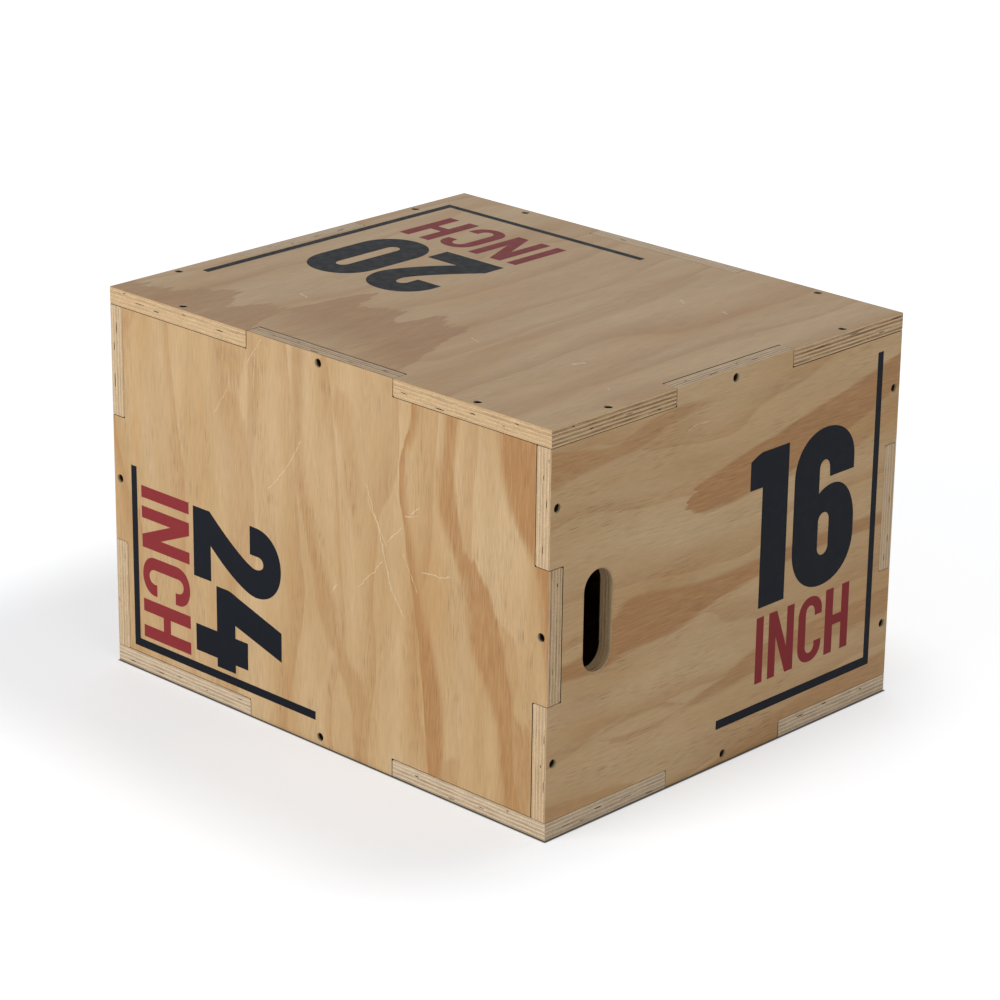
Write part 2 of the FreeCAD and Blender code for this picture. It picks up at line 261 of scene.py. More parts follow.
@dataclass(frozen=True)
class Streak:
    """A band of dark latewood in a face veneer.

    Each station is a place along the band and the places of its two edges there. An edge fades over its
    feather, half to each side.
    """

    stations: tuple[tuple[float, float, float], ...]
    feathers: tuple[float, float]
    strength: float
    course: Course = Course.WITH_GRAIN


@dataclass(frozen=True)
class Scuff:
    """A pale scratch or dent: its two ends on the face and its width."""

    start: tuple[float, float]
    end: tuple[float, float]
    width: float = 0.8


@dataclass(frozen=True)
class Figure:
    """The look of one panel.

    Its face veneer has fibres, streaks, pores and scuffs, and its flames reach some way along the fibres.
    Its plies show more or less strongly in the edges beside the fibres and in those that the fibres end
    at, and the edges have weathered by some share.
    """

    grain: Grain
    seed: float
    streaks: tuple[Streak, ...] = ()
    scuffs: tuple[Scuff, ...] = ()
    ring_strength: float = 0.4
    side_plies: float = 0.5
    end_plies: float = 0.4
    flames: float = 18.0
    pores: float = 0.5
    weathered: float = 0.3


FIGURES = {
    Side.FRONT: Figure(
        grain=Grain.UPRIGHT,
        seed=3.0,
        streaks=(
            Streak(
                ((0, 203, 214), (60, 205, 222), (110, 202, 214), (160, 196, 204), (215, 192, 193)),
                (4, 9), 0.35,
            ),
            Streak(
                (
                    (0, 268, 284), (90, 267, 282), (130, 270, 286), (165, 280, 295), (200, 292, 306),
                    (260, 305, 328), (300, 318, 342), (345, 345, 374), (400, 352, 368),
                ),
                (7, 14), 0.5,
            ),
            Streak(
                ((25, 330, 331), (42, 326, 348), (70, 334, 352), (120, 342, 362), (165, 352, 353)),
                (7, 14), 0.4,
            ),
            Streak(
                (
                    (0, 432, 440), (45, 428, 436), (80, 416, 424), (110, 416, 424), (150, 423, 431),
                    (215, 436, 446), (265, 444, 462), (310, 447, 472), (406, 456, 474),
                ),
                (1.5, 14), 0.9,
            ),
            Streak(
                (
                    (0, 477, 497), (45, 473, 489), (72, 467, 487), (100, 466, 489), (125, 472, 496),
                    (150, 483, 509), (170, 497, 526), (195, 503, 540), (220, 507, 552), (245, 513, 560),
                    (270, 530, 566), (300, 542, 568), (345, 549, 570), (406, 556, 588),
                ),
                (16, 7), 0.85,
            ),
            Streak(
                (
                    (0, 542, 640), (50, 547, 640), (75, 554, 640), (100, 566, 640), (125, 584, 640),
                    (150, 596, 640), (190, 601, 640), (230, 606, 640), (300, 620, 640),
                ),
                (18, 20), 1.0,
            ),
            Streak(((285, 565, 566), (310, 556, 590), (350, 552, 592), (406, 552, 586)), (12, 14), 0.6),
        ),
        side_plies=0.7,
        end_plies=1.1,
        flames=9.0,
        pores=0.45,
        weathered=0.2,
        scuffs=(
            Scuff((370, 114), (386, 150)), Scuff((386, 150), (396, 182)), Scuff((396, 182), (404, 214)),
            Scuff((372, 128), (398, 170), 0.6), Scuff((400, 205), (423, 236), 0.7),
            Scuff((322, 238), (330, 228), 0.6), Scuff((280, 95), (256, 131), 0.6),
            Scuff((256, 131), (233, 155), 0.6), Scuff((360, 222), (392, 188), 0.6),
            Scuff((398, 166), (418, 146), 0.7), Scuff((420, 171), (440, 205), 0.6),
            Scuff((424, 133), (441, 127), 0.8), Scuff((430, 128), (441, 119), 0.8),
            Scuff((447, 183), (483, 178), 0.9), Scuff((174, 66), (154, 98), 0.6),
            Scuff((225, 4), (205, 32), 0.6), Scuff((216, 20), (213, 58), 0.6),
        ),
    ),
    Side.RIGHT: Figure(
        grain=Grain.LEVEL,
        seed=11.0,
        streaks=(
            Streak(
                ((0, 21, 60), (40, 30, 54), (80, 36, 50), (120, 26, 46), (170, 20, 34), (230, 22, 23)),
                (6, 10), 0.7,
            ),
            Streak(
                (
                    (187, 121, 124), (198, 105, 130), (215, 101, 135), (245, 96, 134), (290, 87, 131),
                    (340, 78, 126), (400, 65, 113), (450, 54, 94), (508, 42, 76),
                ),
                (5, 6), 1.0,
            ),
            Streak(
                (
                    (0, 236, 250), (55, 231, 253), (92, 202, 248), (120, 193, 246), (155, 197, 246),
                    (190, 203, 243), (235, 206, 232), (275, 206, 226), (320, 205, 221), (440, 204, 219),
                    (508, 206, 219),
                ),
                (8, 6), 0.95,
            ),
            Streak(
                ((190, 327, 329), (240, 316, 330), (300, 300, 324), (370, 296, 321), (508, 290, 318)),
                (5, 10), 0.7,
            ),
            Streak(
                ((70, 322, 323), (100, 313, 317), (130, 311, 316), (170, 318, 321), (190, 324, 325)),
                (2, 5), 0.5,
            ),
            Streak(((80, 328, 329), (110, 331, 338), (150, 332, 338), (185, 328, 329)), (5, 2), 0.45),
            Streak(((0, 372, 420), (60, 380, 420), (120, 385, 420), (160, 400, 420)), (4, 8), 0.45),
            Streak(((270, 392, 420), (330, 378, 420), (420, 366, 398), (508, 360, 390)), (6, 12), 0.65),
        ),
        side_plies=0.7,
        end_plies=0.5,
        flames=14.0,
        pores=0.5,
        weathered=0.25,
        scuffs=(Scuff((188, 46), (202, 43), 0.9), Scuff((202, 43), (217, 43), 0.8)),
    ),
    Side.TOP: Figure(
        grain=Grain.UPRIGHT,
        seed=23.0,
        streaks=(
            Streak(
                (
                    (178, 450, 451), (186, 392, 452), (200, 340, 456), (228, 372, 460), (262, 350, 462),
                    (283, 380, 462), (304, 330, 464), (322, 352, 468), (342, 340, 474), (360, 392, 482),
                    (380, 442, 492), (396, 498, 499),
                ),
                (4, 90), 0.85, Course.ACROSS_GRAIN,
            ),
            Streak(
                (
                    (-10, 470, 560), (40, 476, 560), (66, 452, 560), (104, 425, 560), (128, 462, 560),
                    (164, 424, 560), (190, 470, 560),
                ),
                (4, 150), 0.75, Course.ACROSS_GRAIN,
            ),
            Streak(
                ((40, 388, 389), (120, 384, 408), (240, 392, 416), (330, 400, 416), (420, 410, 411)),
                (10, 8), 0.35,
            ),
            Streak(((0, 338, 352), (90, 338, 354), (170, 344, 346)), (6, 10), 0.25),
            Streak(((240, 520, 521), (330, 520, 540), (430, 532, 556), (508, 540, 566)), (6, 12), 0.3),
        ),
        side_plies=1.0,
        end_plies=0.3,
        flames=26.0,
        pores=0.3,
        weathered=0.1,
        scuffs=(
            Scuff((150, 386), (164, 391), 2.2), Scuff((494, 355), (499, 346), 4),
            Scuff((428, 128), (438, 134), 2), Scuff((486, 128), (492, 130), 2.4),
            Scuff((370, 366), (384, 372), 1.6), Scuff((566, 384), (570, 388), 1.6),
        ),
    ),
    Side.BACK: Figure(grain=Grain.UPRIGHT, seed=37.0, ring_strength=0.85),
    Side.LEFT: Figure(grain=Grain.LEVEL, seed=41.0, ring_strength=0.85),
    Side.BOTTOM: Figure(grain=Grain.UPRIGHT, seed=53.0, ring_strength=0.8, end_plies=0.6, weathered=0.6),
}


@dataclass(frozen=True)
class GrainSpace:
    """Places in a panel as node outputs: across the fibres, along them, and down from the face."""

    across: NodeSocket
    along: NodeSocket
    depth: NodeSocket
    place: NodeSocket
    on_face: NodeSocket


class Pattern(Enum):
    """Noises that are drawn out along the fibres of a panel.

    Each has its reach across the fibres, along them and into the wood, a number that tells it from the
    others, and its layers of detail. Single fibres and pores are finer than a pixel of the render, so
    they are drawn as coarse as they need to show.
    """

    BROKEN_SCUFF = ((3, 6, 400), 0, 2.0)
    FLAMES = ((26, 240, 400), 1, 2.0)
    FINE_FLAMES = ((3.4, 110, 400), 2, 2.0)
    SWAY = ((90, 140, 400), 3, 2.0)
    PLY_THREADS = ((22, 22, 0.45), 3, 3.0)
    RIPPLE = ((9, 30, 400), 4, 2.0)
    FIBRES = ((1.0, 17, 400), 5, 3.0)
    CLOUDS = ((60, 300, 400), 6, 3.0)
    RING_WANDER = ((150, 420, 400), 7, 2.0)
    PORES = ((0.75, 22, 400), 8, 1.0)
    PORE_PATCHES = ((30, 120, 400), 9, 1.0)
    STRANDS = ((2.4, 32, 400), 10, 3.0)
    DRIFT = ((24, 170, 400), 11, 2.0)
    PLY_WEAR = ((26, 26, 1.1), 12, 2.0)
    PLY_TEARS = ((13, 13, 1.8), 13, 2.0)

    def draw(self, tree: NodeTree, space: GrainSpace, seed: float) -> NodeSocket:
        """Draw the pattern.

        Args:
            tree: The material's tree.
            space: The panel's places.
            seed: What tells the panel from the others.

        Returns:
            A value about one half.
        """
        reach, number, layers = self.value
        shares = [1 / length for length in reach]
        shrunk = add_node(tree, "ShaderNodeVectorMath", (space.place, shares), operation="MULTIPLY")
        return add_node(
            tree, "ShaderNodeTexNoise",
            {"Vector": shrunk, "W": seed + number, "Scale": 1.0, "Detail": layers},
            noise_dimensions="4D",
        )


@dataclass(frozen=True)
class Plywood:
    """Pine plywood, rotary cut, sanded and sealed.

    The face shows pale earlywood with broad tongues of brown latewood, and the edges show nine thin plies
    by turns along and across the fibres. The sealer gives a satin sheen at a low angle.
    """

    earlywood: str = "#D4B487"
    warm_earlywood: str = "#C59C67"
    latewood: str = "#B4824C"
    pore: str = "#7B4A22"
    bare_fibre: str = "#EBDBBB"
    long_grain: str = "#E0BB88"
    weathered_grain: str = "#EBDDC5"
    end_grain: str = "#865E35"
    glue: str = "#6B4A2C"
    roughness: float = 0.46
    roughness_swing: tuple[float, float] = (-0.06, 0.08)
    refraction: float = 1.42
    relief: float = 0.35
    relief_depth: float = 0.2
    ply_count: int = 9
    ply_waver: float = 0.3
    ply_unevenness: float = 0.7
    glue_line: float = 0.22
    ring_width: float = 74.0
    ring_wander: float = 3.2
    ring_foot: float = 0.6
    ring_crest: float = 0.97
    flame_reach: float = 28.0
    sway: float = 5.0
    ripple: float = 1.6
    scuff_wobble: float = 6.0
    wobble_width: float = 11.0
    waver_width: float = 45.0
    unevenness_width: float = 3.2
    speckles_per_mm: float = 0.9
    strand_cover: tuple[float, float] = (0.72, 1.2)
    wisp_cover: tuple[float, float] = (0.0, 0.3)
    fibre_tones: tuple[float, float] = (0.88, 1.11)
    strand_tones: tuple[float, float] = (1.04, 0.96)
    drift_tones: tuple[float, float] = (0.94, 1.06)
    speckle_tones: tuple[float, float] = (0.78, 1.16)
    thread_tones: tuple[float, float] = (0.7, 1.2)
    # Where a noise begins to show as each of these, and where it does so fully
    warm_span: tuple[float, float] = (0.35, 0.68)
    strand_span: tuple[float, float] = (0.3, 0.7)
    wisp_span: tuple[float, float] = (0.52, 0.8)
    pore_span: tuple[float, float] = (0.55, 0.68)
    patch_span: tuple[float, float] = (0.48, 0.62)
    break_span: tuple[float, float] = (0.3, 0.6)
    wear_span: tuple[float, float] = (0.34, 0.62)
    tear_span: tuple[float, float] = (0.42, 0.64)
    face_span: tuple[float, float] = (0.55, 0.85)
    # How strongly each of these then shows
    patch_cover: tuple[float, float] = (0.05, 1.0)
    ply_cover: tuple[float, float] = (0.6, 1.15)
    wear_cover: tuple[float, float] = (0.25, 1.15)
    tear_cover: tuple[float, float] = (0.35, 1.4)
    glue_cover: float = 1.1
    scuff_cover: float = 0.8
    scuff_waist: float = 0.15
    latewood_pores: float = 0.4

    def material(self, face: FaceFrame, figure: Figure) -> Material:
        """Make the material of one panel.

        Args:
            face: The panel's frame.
            figure: What its face veneer shows.

        Returns:
            The material.
        """
        material, tree = new_material(f"pine_plywood_{face.side.label}")
        space = self.grain_space(tree, face, figure)
        veneer, fibres = self.veneer(tree, space, face, figure)
        edge = self.edge(tree, space, face, figure)
        facing = self.facing(tree, face)
        colour = add_node(
            tree, "ShaderNodeMix", {SHARE: facing, UNDER: edge, OVER: veneer}, BLEND, data_type="RGBA"
        )
        bump = add_node(
            tree, "ShaderNodeBump",
            {"Strength": self.relief, "Distance": self.relief_depth * MM, "Height": fibres},
        )
        smooth, rough = (self.roughness + swing for swing in self.roughness_swing)
        sheen = add_node(tree, "ShaderNodeMapRange", (fibres, 0.0, 1.0, smooth, rough))
        shader = add_node(
            tree, "ShaderNodeBsdfPrincipled",
            {"Base Color": colour, "Roughness": sheen, "Normal": bump, "IOR": self.refraction},
        )
        add_node(tree, "ShaderNodeOutputMaterial", (shader,), None)
        return material

    def grain_space(self, tree: NodeTree, face: FaceFrame, figure: Figure) -> GrainSpace:
        """Turn places in the part into places across and along the fibres of a panel.

        Args:
            tree: The material's tree.
            face: The panel's frame.
            figure: The panel's figure.

        Returns:
            The places, as outputs.
        """
        part = add_node(tree, "ShaderNodeTexCoord", out="Object")
        on_face = add_node(tree, "ShaderNodeMapping", {"Vector": part, **face.mapping()})
        right = add_node(tree, "ShaderNodeSeparateXYZ", (on_face,))
        down, depth = right.node.outputs[1], right.node.outputs[2]
        across, along = (down, right) if figure.grain is Grain.LEVEL else (right, down)
        place = add_node(tree, "ShaderNodeCombineXYZ", (across, along, depth))
        return GrainSpace(across, along, depth, place, on_face)

    def shifted(
        self, tree: NodeTree, start: NodeSocket, patterns: tuple[tuple[NodeSocket, float], ...]
    ) -> NodeSocket:
        """Shift a place by patterns, each by up to its own reach."""
        for pattern, reach in patterns:
            centred = add_node(tree, "ShaderNodeMath", (pattern, 0.5), operation="SUBTRACT")
            start = add_node(tree, "ShaderNodeMath", (centred, 2 * reach, start), operation="MULTIPLY_ADD")
        return start

    def streak(
        self, tree: NodeTree, streak: Streak, station: NodeSocket, place: NodeSocket,
        spans: tuple[float, float],
    ) -> NodeSocket:
        """How much of a point one streak of latewood covers.

        Args:
            tree: The material's tree.
            streak: The streak.
            station: The place along the streak.
            place: The place across it.
            spans: The panel's size along the streak and across it.

        Returns:
            From none to the streak's strength.
        """
        share = add_node(tree, "ShaderNodeMath", (station, 1 / spans[0]), operation="MULTIPLY")
        covers = []
        for edge, feather in enumerate(streak.feathers):
            bound = add_node(tree, "ShaderNodeFloatCurve", (1.0, share))
            mapping = bound.node.mapping
            mapping.use_clip = False
            points = [(stop[0] / spans[0], stop[1 + edge] / spans[1]) for stop in streak.stations]
            curve = mapping.curves[0].points
            for _ in points[2:]:
                curve.new(0.5, 0.5)
            for knot, point in zip(curve, points):
                knot.location = point
                knot.handle_type = "AUTO_CLAMPED"
            mapping.update()
            edge_place = add_node(tree, "ShaderNodeMath", (bound, spans[1]), operation="MULTIPLY")
            inner, outer = (place, edge_place) if edge == 0 else (edge_place, place)
            inside = add_node(tree, "ShaderNodeMath", (inner, outer), operation="SUBTRACT")
            covers.append(
                add_node(
                    tree, "ShaderNodeMapRange", (inside, -feather / 2, feather / 2, 0.0, 1.0),
                    interpolation_type="SMOOTHSTEP",
                )
            )
        both = add_node(tree, "ShaderNodeMath", covers, operation="MULTIPLY")
        return add_node(tree, "ShaderNodeMath", (both, streak.strength), operation="MULTIPLY")

    def rings(self, tree: NodeTree, space: GrainSpace, across: NodeSocket, figure: Figure) -> NodeSocket:
        """Growth rings that the knife cut at a low angle: each darkens slowly and ends at a sharp line."""
        wander = Pattern.RING_WANDER.draw(tree, space, figure.seed)
        phase = add_node(tree, "ShaderNodeMath", (across, 1 / self.ring_width), operation="MULTIPLY")
        phase = add_node(
            tree, "ShaderNodeMath", (wander, self.ring_wander, phase), operation="MULTIPLY_ADD"
        )
        tooth = add_node(tree, "ShaderNodeMath", (phase,), operation="FRACT")
        ramps = [
            add_node(tree, "ShaderNodeMapRange", (tooth, *ramp), interpolation_type="SMOOTHSTEP")
            for ramp in ((self.ring_foot, self.ring_crest, 0.0, 1.0), (self.ring_crest, 1.0, 1.0, 0.0))
        ]
        ring = add_node(tree, "ShaderNodeMath", ramps, operation="MULTIPLY")
        return add_node(tree, "ShaderNodeMath", (ring, figure.ring_strength), operation="MULTIPLY")

    def tongues(self, tree: NodeTree, space: GrainSpace, face: FaceFrame, figure: Figure) -> NodeSocket:
        """How much of a point is latewood, from the rings and streaks, with ragged ends along the fibres.

        Args:
            tree: The material's tree.
            space: The panel's places.
            face: The panel's frame.
            figure: What the veneer shows.

        Returns:
            From none to one.
        """
        flames, fine_flames, sway, ripple = (
            pattern.draw(tree, space, figure.seed)
            for pattern in (Pattern.FLAMES, Pattern.FINE_FLAMES, Pattern.SWAY, Pattern.RIPPLE)
        )
        along = self.shifted(tree, space.along, ((flames, self.flame_reach), (fine_flames, figure.flames)))
        across = self.shifted(tree, space.across, ((sway, self.sway), (ripple, self.ripple)))
        width, height, _ = face.size
        spans = (width, height) if figure.grain is Grain.LEVEL else (height, width)
        dark = self.rings(tree, space, across, figure)
        for streak in figure.streaks:
            if streak.course is Course.WITH_GRAIN:
                cover = self.streak(tree, streak, along, across, spans)
            else:
                cover = self.streak(tree, streak, across, along, spans[::-1])
            dark = add_node(tree, "ShaderNodeMath", (dark, cover), operation="MAXIMUM")
        return dark

    def veneer(
        self, tree: NodeTree, space: GrainSpace, face: FaceFrame, figure: Figure
    ) -> tuple[NodeSocket, NodeSocket]:
        """Colour the face veneer.

        Args:
            tree: The material's tree.
            space: The panel's places.
            face: The panel's frame.
            figure: What the veneer shows.

        Returns:
            The colour, and the height of the fibres.
        """
        fibres, strands, clouds, drift = (
            pattern.draw(tree, space, figure.seed)
            for pattern in (Pattern.FIBRES, Pattern.STRANDS, Pattern.CLOUDS, Pattern.DRIFT)
        )
        dark = self.tongues(tree, space, face, figure)
        streaked = add_node(tree, "ShaderNodeMapRange", (strands, *self.strand_span, *self.strand_cover))
        dark = add_node(tree, "ShaderNodeMath", (dark, streaked), operation="MULTIPLY", use_clamp=True)
        warm = add_node(tree, "ShaderNodeMapRange", (clouds, *self.warm_span, 0.0, 1.0))
        pale = add_node(
            tree, "ShaderNodeMix",
            {SHARE: warm, UNDER: linear(self.earlywood), OVER: linear(self.warm_earlywood)}, BLEND,
            data_type="RGBA",
        )
        wisps = add_node(tree, "ShaderNodeMapRange", (strands, *self.wisp_span, *self.wisp_cover))
        covered = add_node(tree, "ShaderNodeMath", (dark, wisps), operation="MAXIMUM")
        wood = add_node(
            tree, "ShaderNodeMix", {SHARE: covered, UNDER: pale, OVER: linear(self.latewood)}, BLEND,
            data_type="RGBA",
        )
        wood = self.pores(tree, space, figure, wood, dark)
        patterns = ((fibres, self.fibre_tones), (strands, self.strand_tones), (drift, self.drift_tones))
        wood = self.toned(tree, wood, patterns)
        return self.scuffed(tree, space, figure, wood), fibres

    def toned(
        self, tree: NodeTree, colour: NodeSocket,
        patterns: tuple[tuple[NodeSocket, tuple[float, float]], ...],
    ) -> NodeSocket:
        """Darken and lighten a colour by patterns, each between its own two tones."""
        for pattern, tones in patterns:
            tone = add_node(tree, "ShaderNodeMapRange", (pattern, *NOISE_SPAN, *tones))
            colour = add_node(
                tree, "ShaderNodeMix", {SHARE: 1.0, UNDER: colour, OVER: tone}, BLEND, data_type="RGBA",
                blend_type="MULTIPLY",
            )
        return colour

    def pores(
        self, tree: NodeTree, space: GrainSpace, figure: Figure, wood: NodeSocket, latewood: NodeSocket
    ) -> NodeSocket:
        """Draw the short dark dashes where the knife opened the fibres, in patches and in latewood.

        Args:
            tree: The material's tree.
            space: The panel's places.
            figure: What the veneer shows.
            wood: The colour under them.
            latewood: How much of a point is latewood.

        Returns:
            The colour with the dashes.
        """
        dash = Pattern.PORES.draw(tree, space, figure.seed)
        patch = Pattern.PORE_PATCHES.draw(tree, space, figure.seed)
        amount, where = (
            add_node(tree, "ShaderNodeMapRange", ramp, interpolation_type="SMOOTHSTEP")
            for ramp in ((dash, *self.pore_span, 0.0, 1.0), (patch, *self.patch_span, *self.patch_cover))
        )
        where = add_node(
            tree, "ShaderNodeMath", (latewood, self.latewood_pores, where), operation="MULTIPLY_ADD",
            use_clamp=True,
        )
        for share in (where, figure.pores):
            amount = add_node(tree, "ShaderNodeMath", (amount, share), operation="MULTIPLY")
        return add_node(
            tree, "ShaderNodeMix", {SHARE: amount, UNDER: wood, OVER: linear(self.pore)}, BLEND,
            data_type="RGBA",
        )

    def scuffed(self, tree: NodeTree, space: GrainSpace, figure: Figure, wood: NodeSocket) -> NodeSocket:
        """Draw the pale scuffs, which are a little bent and broken.

        Args:
            tree: The material's tree.
            space: The panel's places.
            figure: What the veneer shows.
            wood: The colour under them.

        Returns:
            The colour with the scuffs.
        """
        if not figure.scuffs:
            return wood
        wobble = add_node(
            tree, "ShaderNodeTexNoise",
            {"Vector": space.on_face, "Scale": 1 / self.wobble_width, "Detail": 2.0}, "Color",
        )
        wobble = add_node(tree, "ShaderNodeVectorMath", (wobble, (0.5, 0.5, 0.5)), operation="SUBTRACT")
        reach = (self.scuff_wobble, self.scuff_wobble, 0)
        place = add_node(
            tree, "ShaderNodeVectorMath", (wobble, reach, space.on_face), operation="MULTIPLY_ADD"
        )
        for scuff in figure.scuffs:
            amount = self.scuff(tree, space, scuff, place)
            wood = add_node(
                tree, "ShaderNodeMix", {SHARE: amount, UNDER: wood, OVER: linear(self.bare_fibre)}, BLEND,
                data_type="RGBA",
            )
        return wood

    def scuff(self, tree: NodeTree, space: GrainSpace, scuff: Scuff, place: NodeSocket) -> NodeSocket:
        """How much of a point one scuff covers.

        Args:
            tree: The material's tree.
            space: The panel's places.
            scuff: The scuff.
            place: The place on the face.

        Returns:
            From none to nearly one.
        """
        start, end = Vector((*scuff.start, 0)), Vector((*scuff.end, 0))
        run = end - start
        offset = add_node(tree, "ShaderNodeVectorMath", (place, start), operation="SUBTRACT")
        unit = run / run.length_squared
        share = add_node(tree, "ShaderNodeVectorMath", (offset, unit), "Value", operation="DOT_PRODUCT")
        share = add_node(tree, "ShaderNodeClamp", (share,))
        nearest = add_node(tree, "ShaderNodeVectorMath", {0: run, "Scale": share}, operation="SCALE")
        gap = add_node(tree, "ShaderNodeVectorMath", (offset, nearest), "Value", operation="DISTANCE")
        broken = Pattern.BROKEN_SCUFF.draw(tree, space, scuff.start[0])
        waist = self.scuff_waist * scuff.width
        reach = add_node(tree, "ShaderNodeMapRange", (broken, *self.break_span, waist, scuff.width))
        return add_node(tree, "ShaderNodeMapRange", (gap, 0.0, reach, self.scuff_cover, 0.0))

    def edge(self, tree: NodeTree, space: GrainSpace, face: FaceFrame, figure: Figure) -> NodeSocket:
        """Colour the cut edges, where the plies show by turns as long grain and as end grain.

        Args:
            tree: The material's tree.
            space: The panel's places.
            face: The panel's frame.
            figure: The panel's figure.

        Returns:
            The colour.
        """
        number, within = self.plies(tree, space, face, figure)
        tint = add_node(
            tree, "ShaderNodeTexWhiteNoise", {"W": number, "Vector": (figure.seed, 0, 0)}, "Value",
            noise_dimensions="4D",
        )
        ends = self.end_grain_share(tree, face, figure, number)
        fill = add_node(tree, "ShaderNodeMapRange", (tint, 0.0, 1.0, *self.ply_cover))
        wear = Pattern.PLY_WEAR.draw(tree, space, figure.seed)
        worn = add_node(tree, "ShaderNodeMapRange", (wear, *self.wear_span, *self.wear_cover))
        for share in (fill, worn):
            ends = add_node(tree, "ShaderNodeMath", (ends, share), operation="MULTIPLY", use_clamp=True)
        fresh, weathered = (Vector(linear(tone)) for tone in (self.long_grain, self.weathered_grain))
        pale = fresh.lerp(weathered, figure.weathered)
        colour = add_node(
            tree, "ShaderNodeMix", {SHARE: ends, UNDER: pale, OVER: linear(self.end_grain)}, BLEND,
            data_type="RGBA",
        )
        speckle = add_node(
            tree, "ShaderNodeTexNoise",
            {
                "Vector": space.place, "W": figure.seed + 2, "Scale": self.speckles_per_mm, "Detail": 3.0,
            },
            noise_dimensions="4D",
        )
        threads = Pattern.PLY_THREADS.draw(tree, space, figure.seed)
        colour = self.toned(tree, colour, ((speckle, self.speckle_tones), (threads, self.thread_tones)))
        line = add_node(
            tree, "ShaderNodeMapRange", (within, 0.0, self.glue_line, self.glue_cover, 0.0),
            interpolation_type="SMOOTHSTEP",
        )
        tears = Pattern.PLY_TEARS.draw(tree, space, figure.seed)
        torn = add_node(tree, "ShaderNodeMapRange", (tears, *self.tear_span, *self.tear_cover))
        for share in (tint, torn):
            line = add_node(tree, "ShaderNodeMath", (line, share), operation="MULTIPLY", use_clamp=True)
        return add_node(
            tree, "ShaderNodeMix", {SHARE: line, UNDER: colour, OVER: linear(self.glue)}, BLEND,
            data_type="RGBA",
        )

    def plies(
        self, tree: NodeTree, space: GrainSpace, face: FaceFrame, figure: Figure
    ) -> tuple[NodeSocket, NodeSocket]:
        """Count the plies down from the face. They waver, and some are thicker than others.

        Args:
            tree: The material's tree.
            space: The panel's places.
            face: The panel's frame.
            figure: The panel's figure.

        Returns:
            The number of the ply, and the place within it.
        """
        ply = face.size[2] / self.ply_count
        waver = add_node(
            tree, "ShaderNodeTexNoise",
            {"Vector": space.place, "W": figure.seed, "Scale": 1 / self.waver_width, "Detail": 2.0},
            noise_dimensions="4D",
        )
        uneven = add_node(
            tree, "ShaderNodeTexNoise", {"W": space.depth, "Scale": 1 / self.unevenness_width},
            noise_dimensions="1D",
        )
        depth = self.shifted(tree, space.depth, ((waver, self.ply_waver), (uneven, self.ply_unevenness)))
        level = add_node(tree, "ShaderNodeMath", (depth, 1 / ply), operation="MULTIPLY")
        number = add_node(tree, "ShaderNodeMath", (level,), operation="FLOOR")
        within = add_node(tree, "ShaderNodeMath", (level,), operation="FRACT")
        return number, within

    def end_grain_share(
        self, tree: NodeTree, face: FaceFrame, figure: Figure, number: NodeSocket
    ) -> NodeSocket:
        """How much of a ply in an edge shows the ends of its fibres.

        Every other ply, from the outer one on, shows them on an edge that the face fibres run into. The
        plies between show them on the other edges.

        Args:
            tree: The material's tree.
            face: The panel's frame.
            figure: The panel's figure.
            number: The number of the ply.

        Returns:
            From none to one.
        """
        odd = add_node(tree, "ShaderNodeMath", (number, 2.0), operation="FLOORED_MODULO")
        fibres = face.side.right if figure.grain is Grain.LEVEL else face.side.down
        into = self.squareness(tree, fibres)
        ends = add_node(tree, "ShaderNodeMath", (odd, into), operation="SUBTRACT")
        ends = add_node(tree, "ShaderNodeMath", (ends,), operation="ABSOLUTE")
        shown = add_node(tree, "ShaderNodeMapRange", (into, 0.0, 1.0, figure.side_plies, figure.end_plies))
        return add_node(tree, "ShaderNodeMath", (ends, shown), operation="MULTIPLY", use_clamp=True)

    def facing(self, tree: NodeTree, face: FaceFrame) -> NodeSocket:
        """How squarely a point looks out of the panel's face: one on the face and none on its edges."""
        square = self.squareness(tree, face.side.inward)
        return add_node(
            tree, "ShaderNodeMapRange", (square, *self.face_span, 0.0, 1.0), interpolation_type="SMOOTHSTEP"
        )

    def squareness(self, tree: NodeTree, way: Vector) -> NodeSocket:
        """How squarely a point looks along a direction or against it, from none to one."""
        normal = add_node(tree, "ShaderNodeNewGeometry", out="True Normal")
        square = add_node(tree, "ShaderNodeVectorMath", (normal, way), "Value", operation="DOT_PRODUCT")
        return add_node(tree, "ShaderNodeMath", (square,), operation="ABSOLUTE")


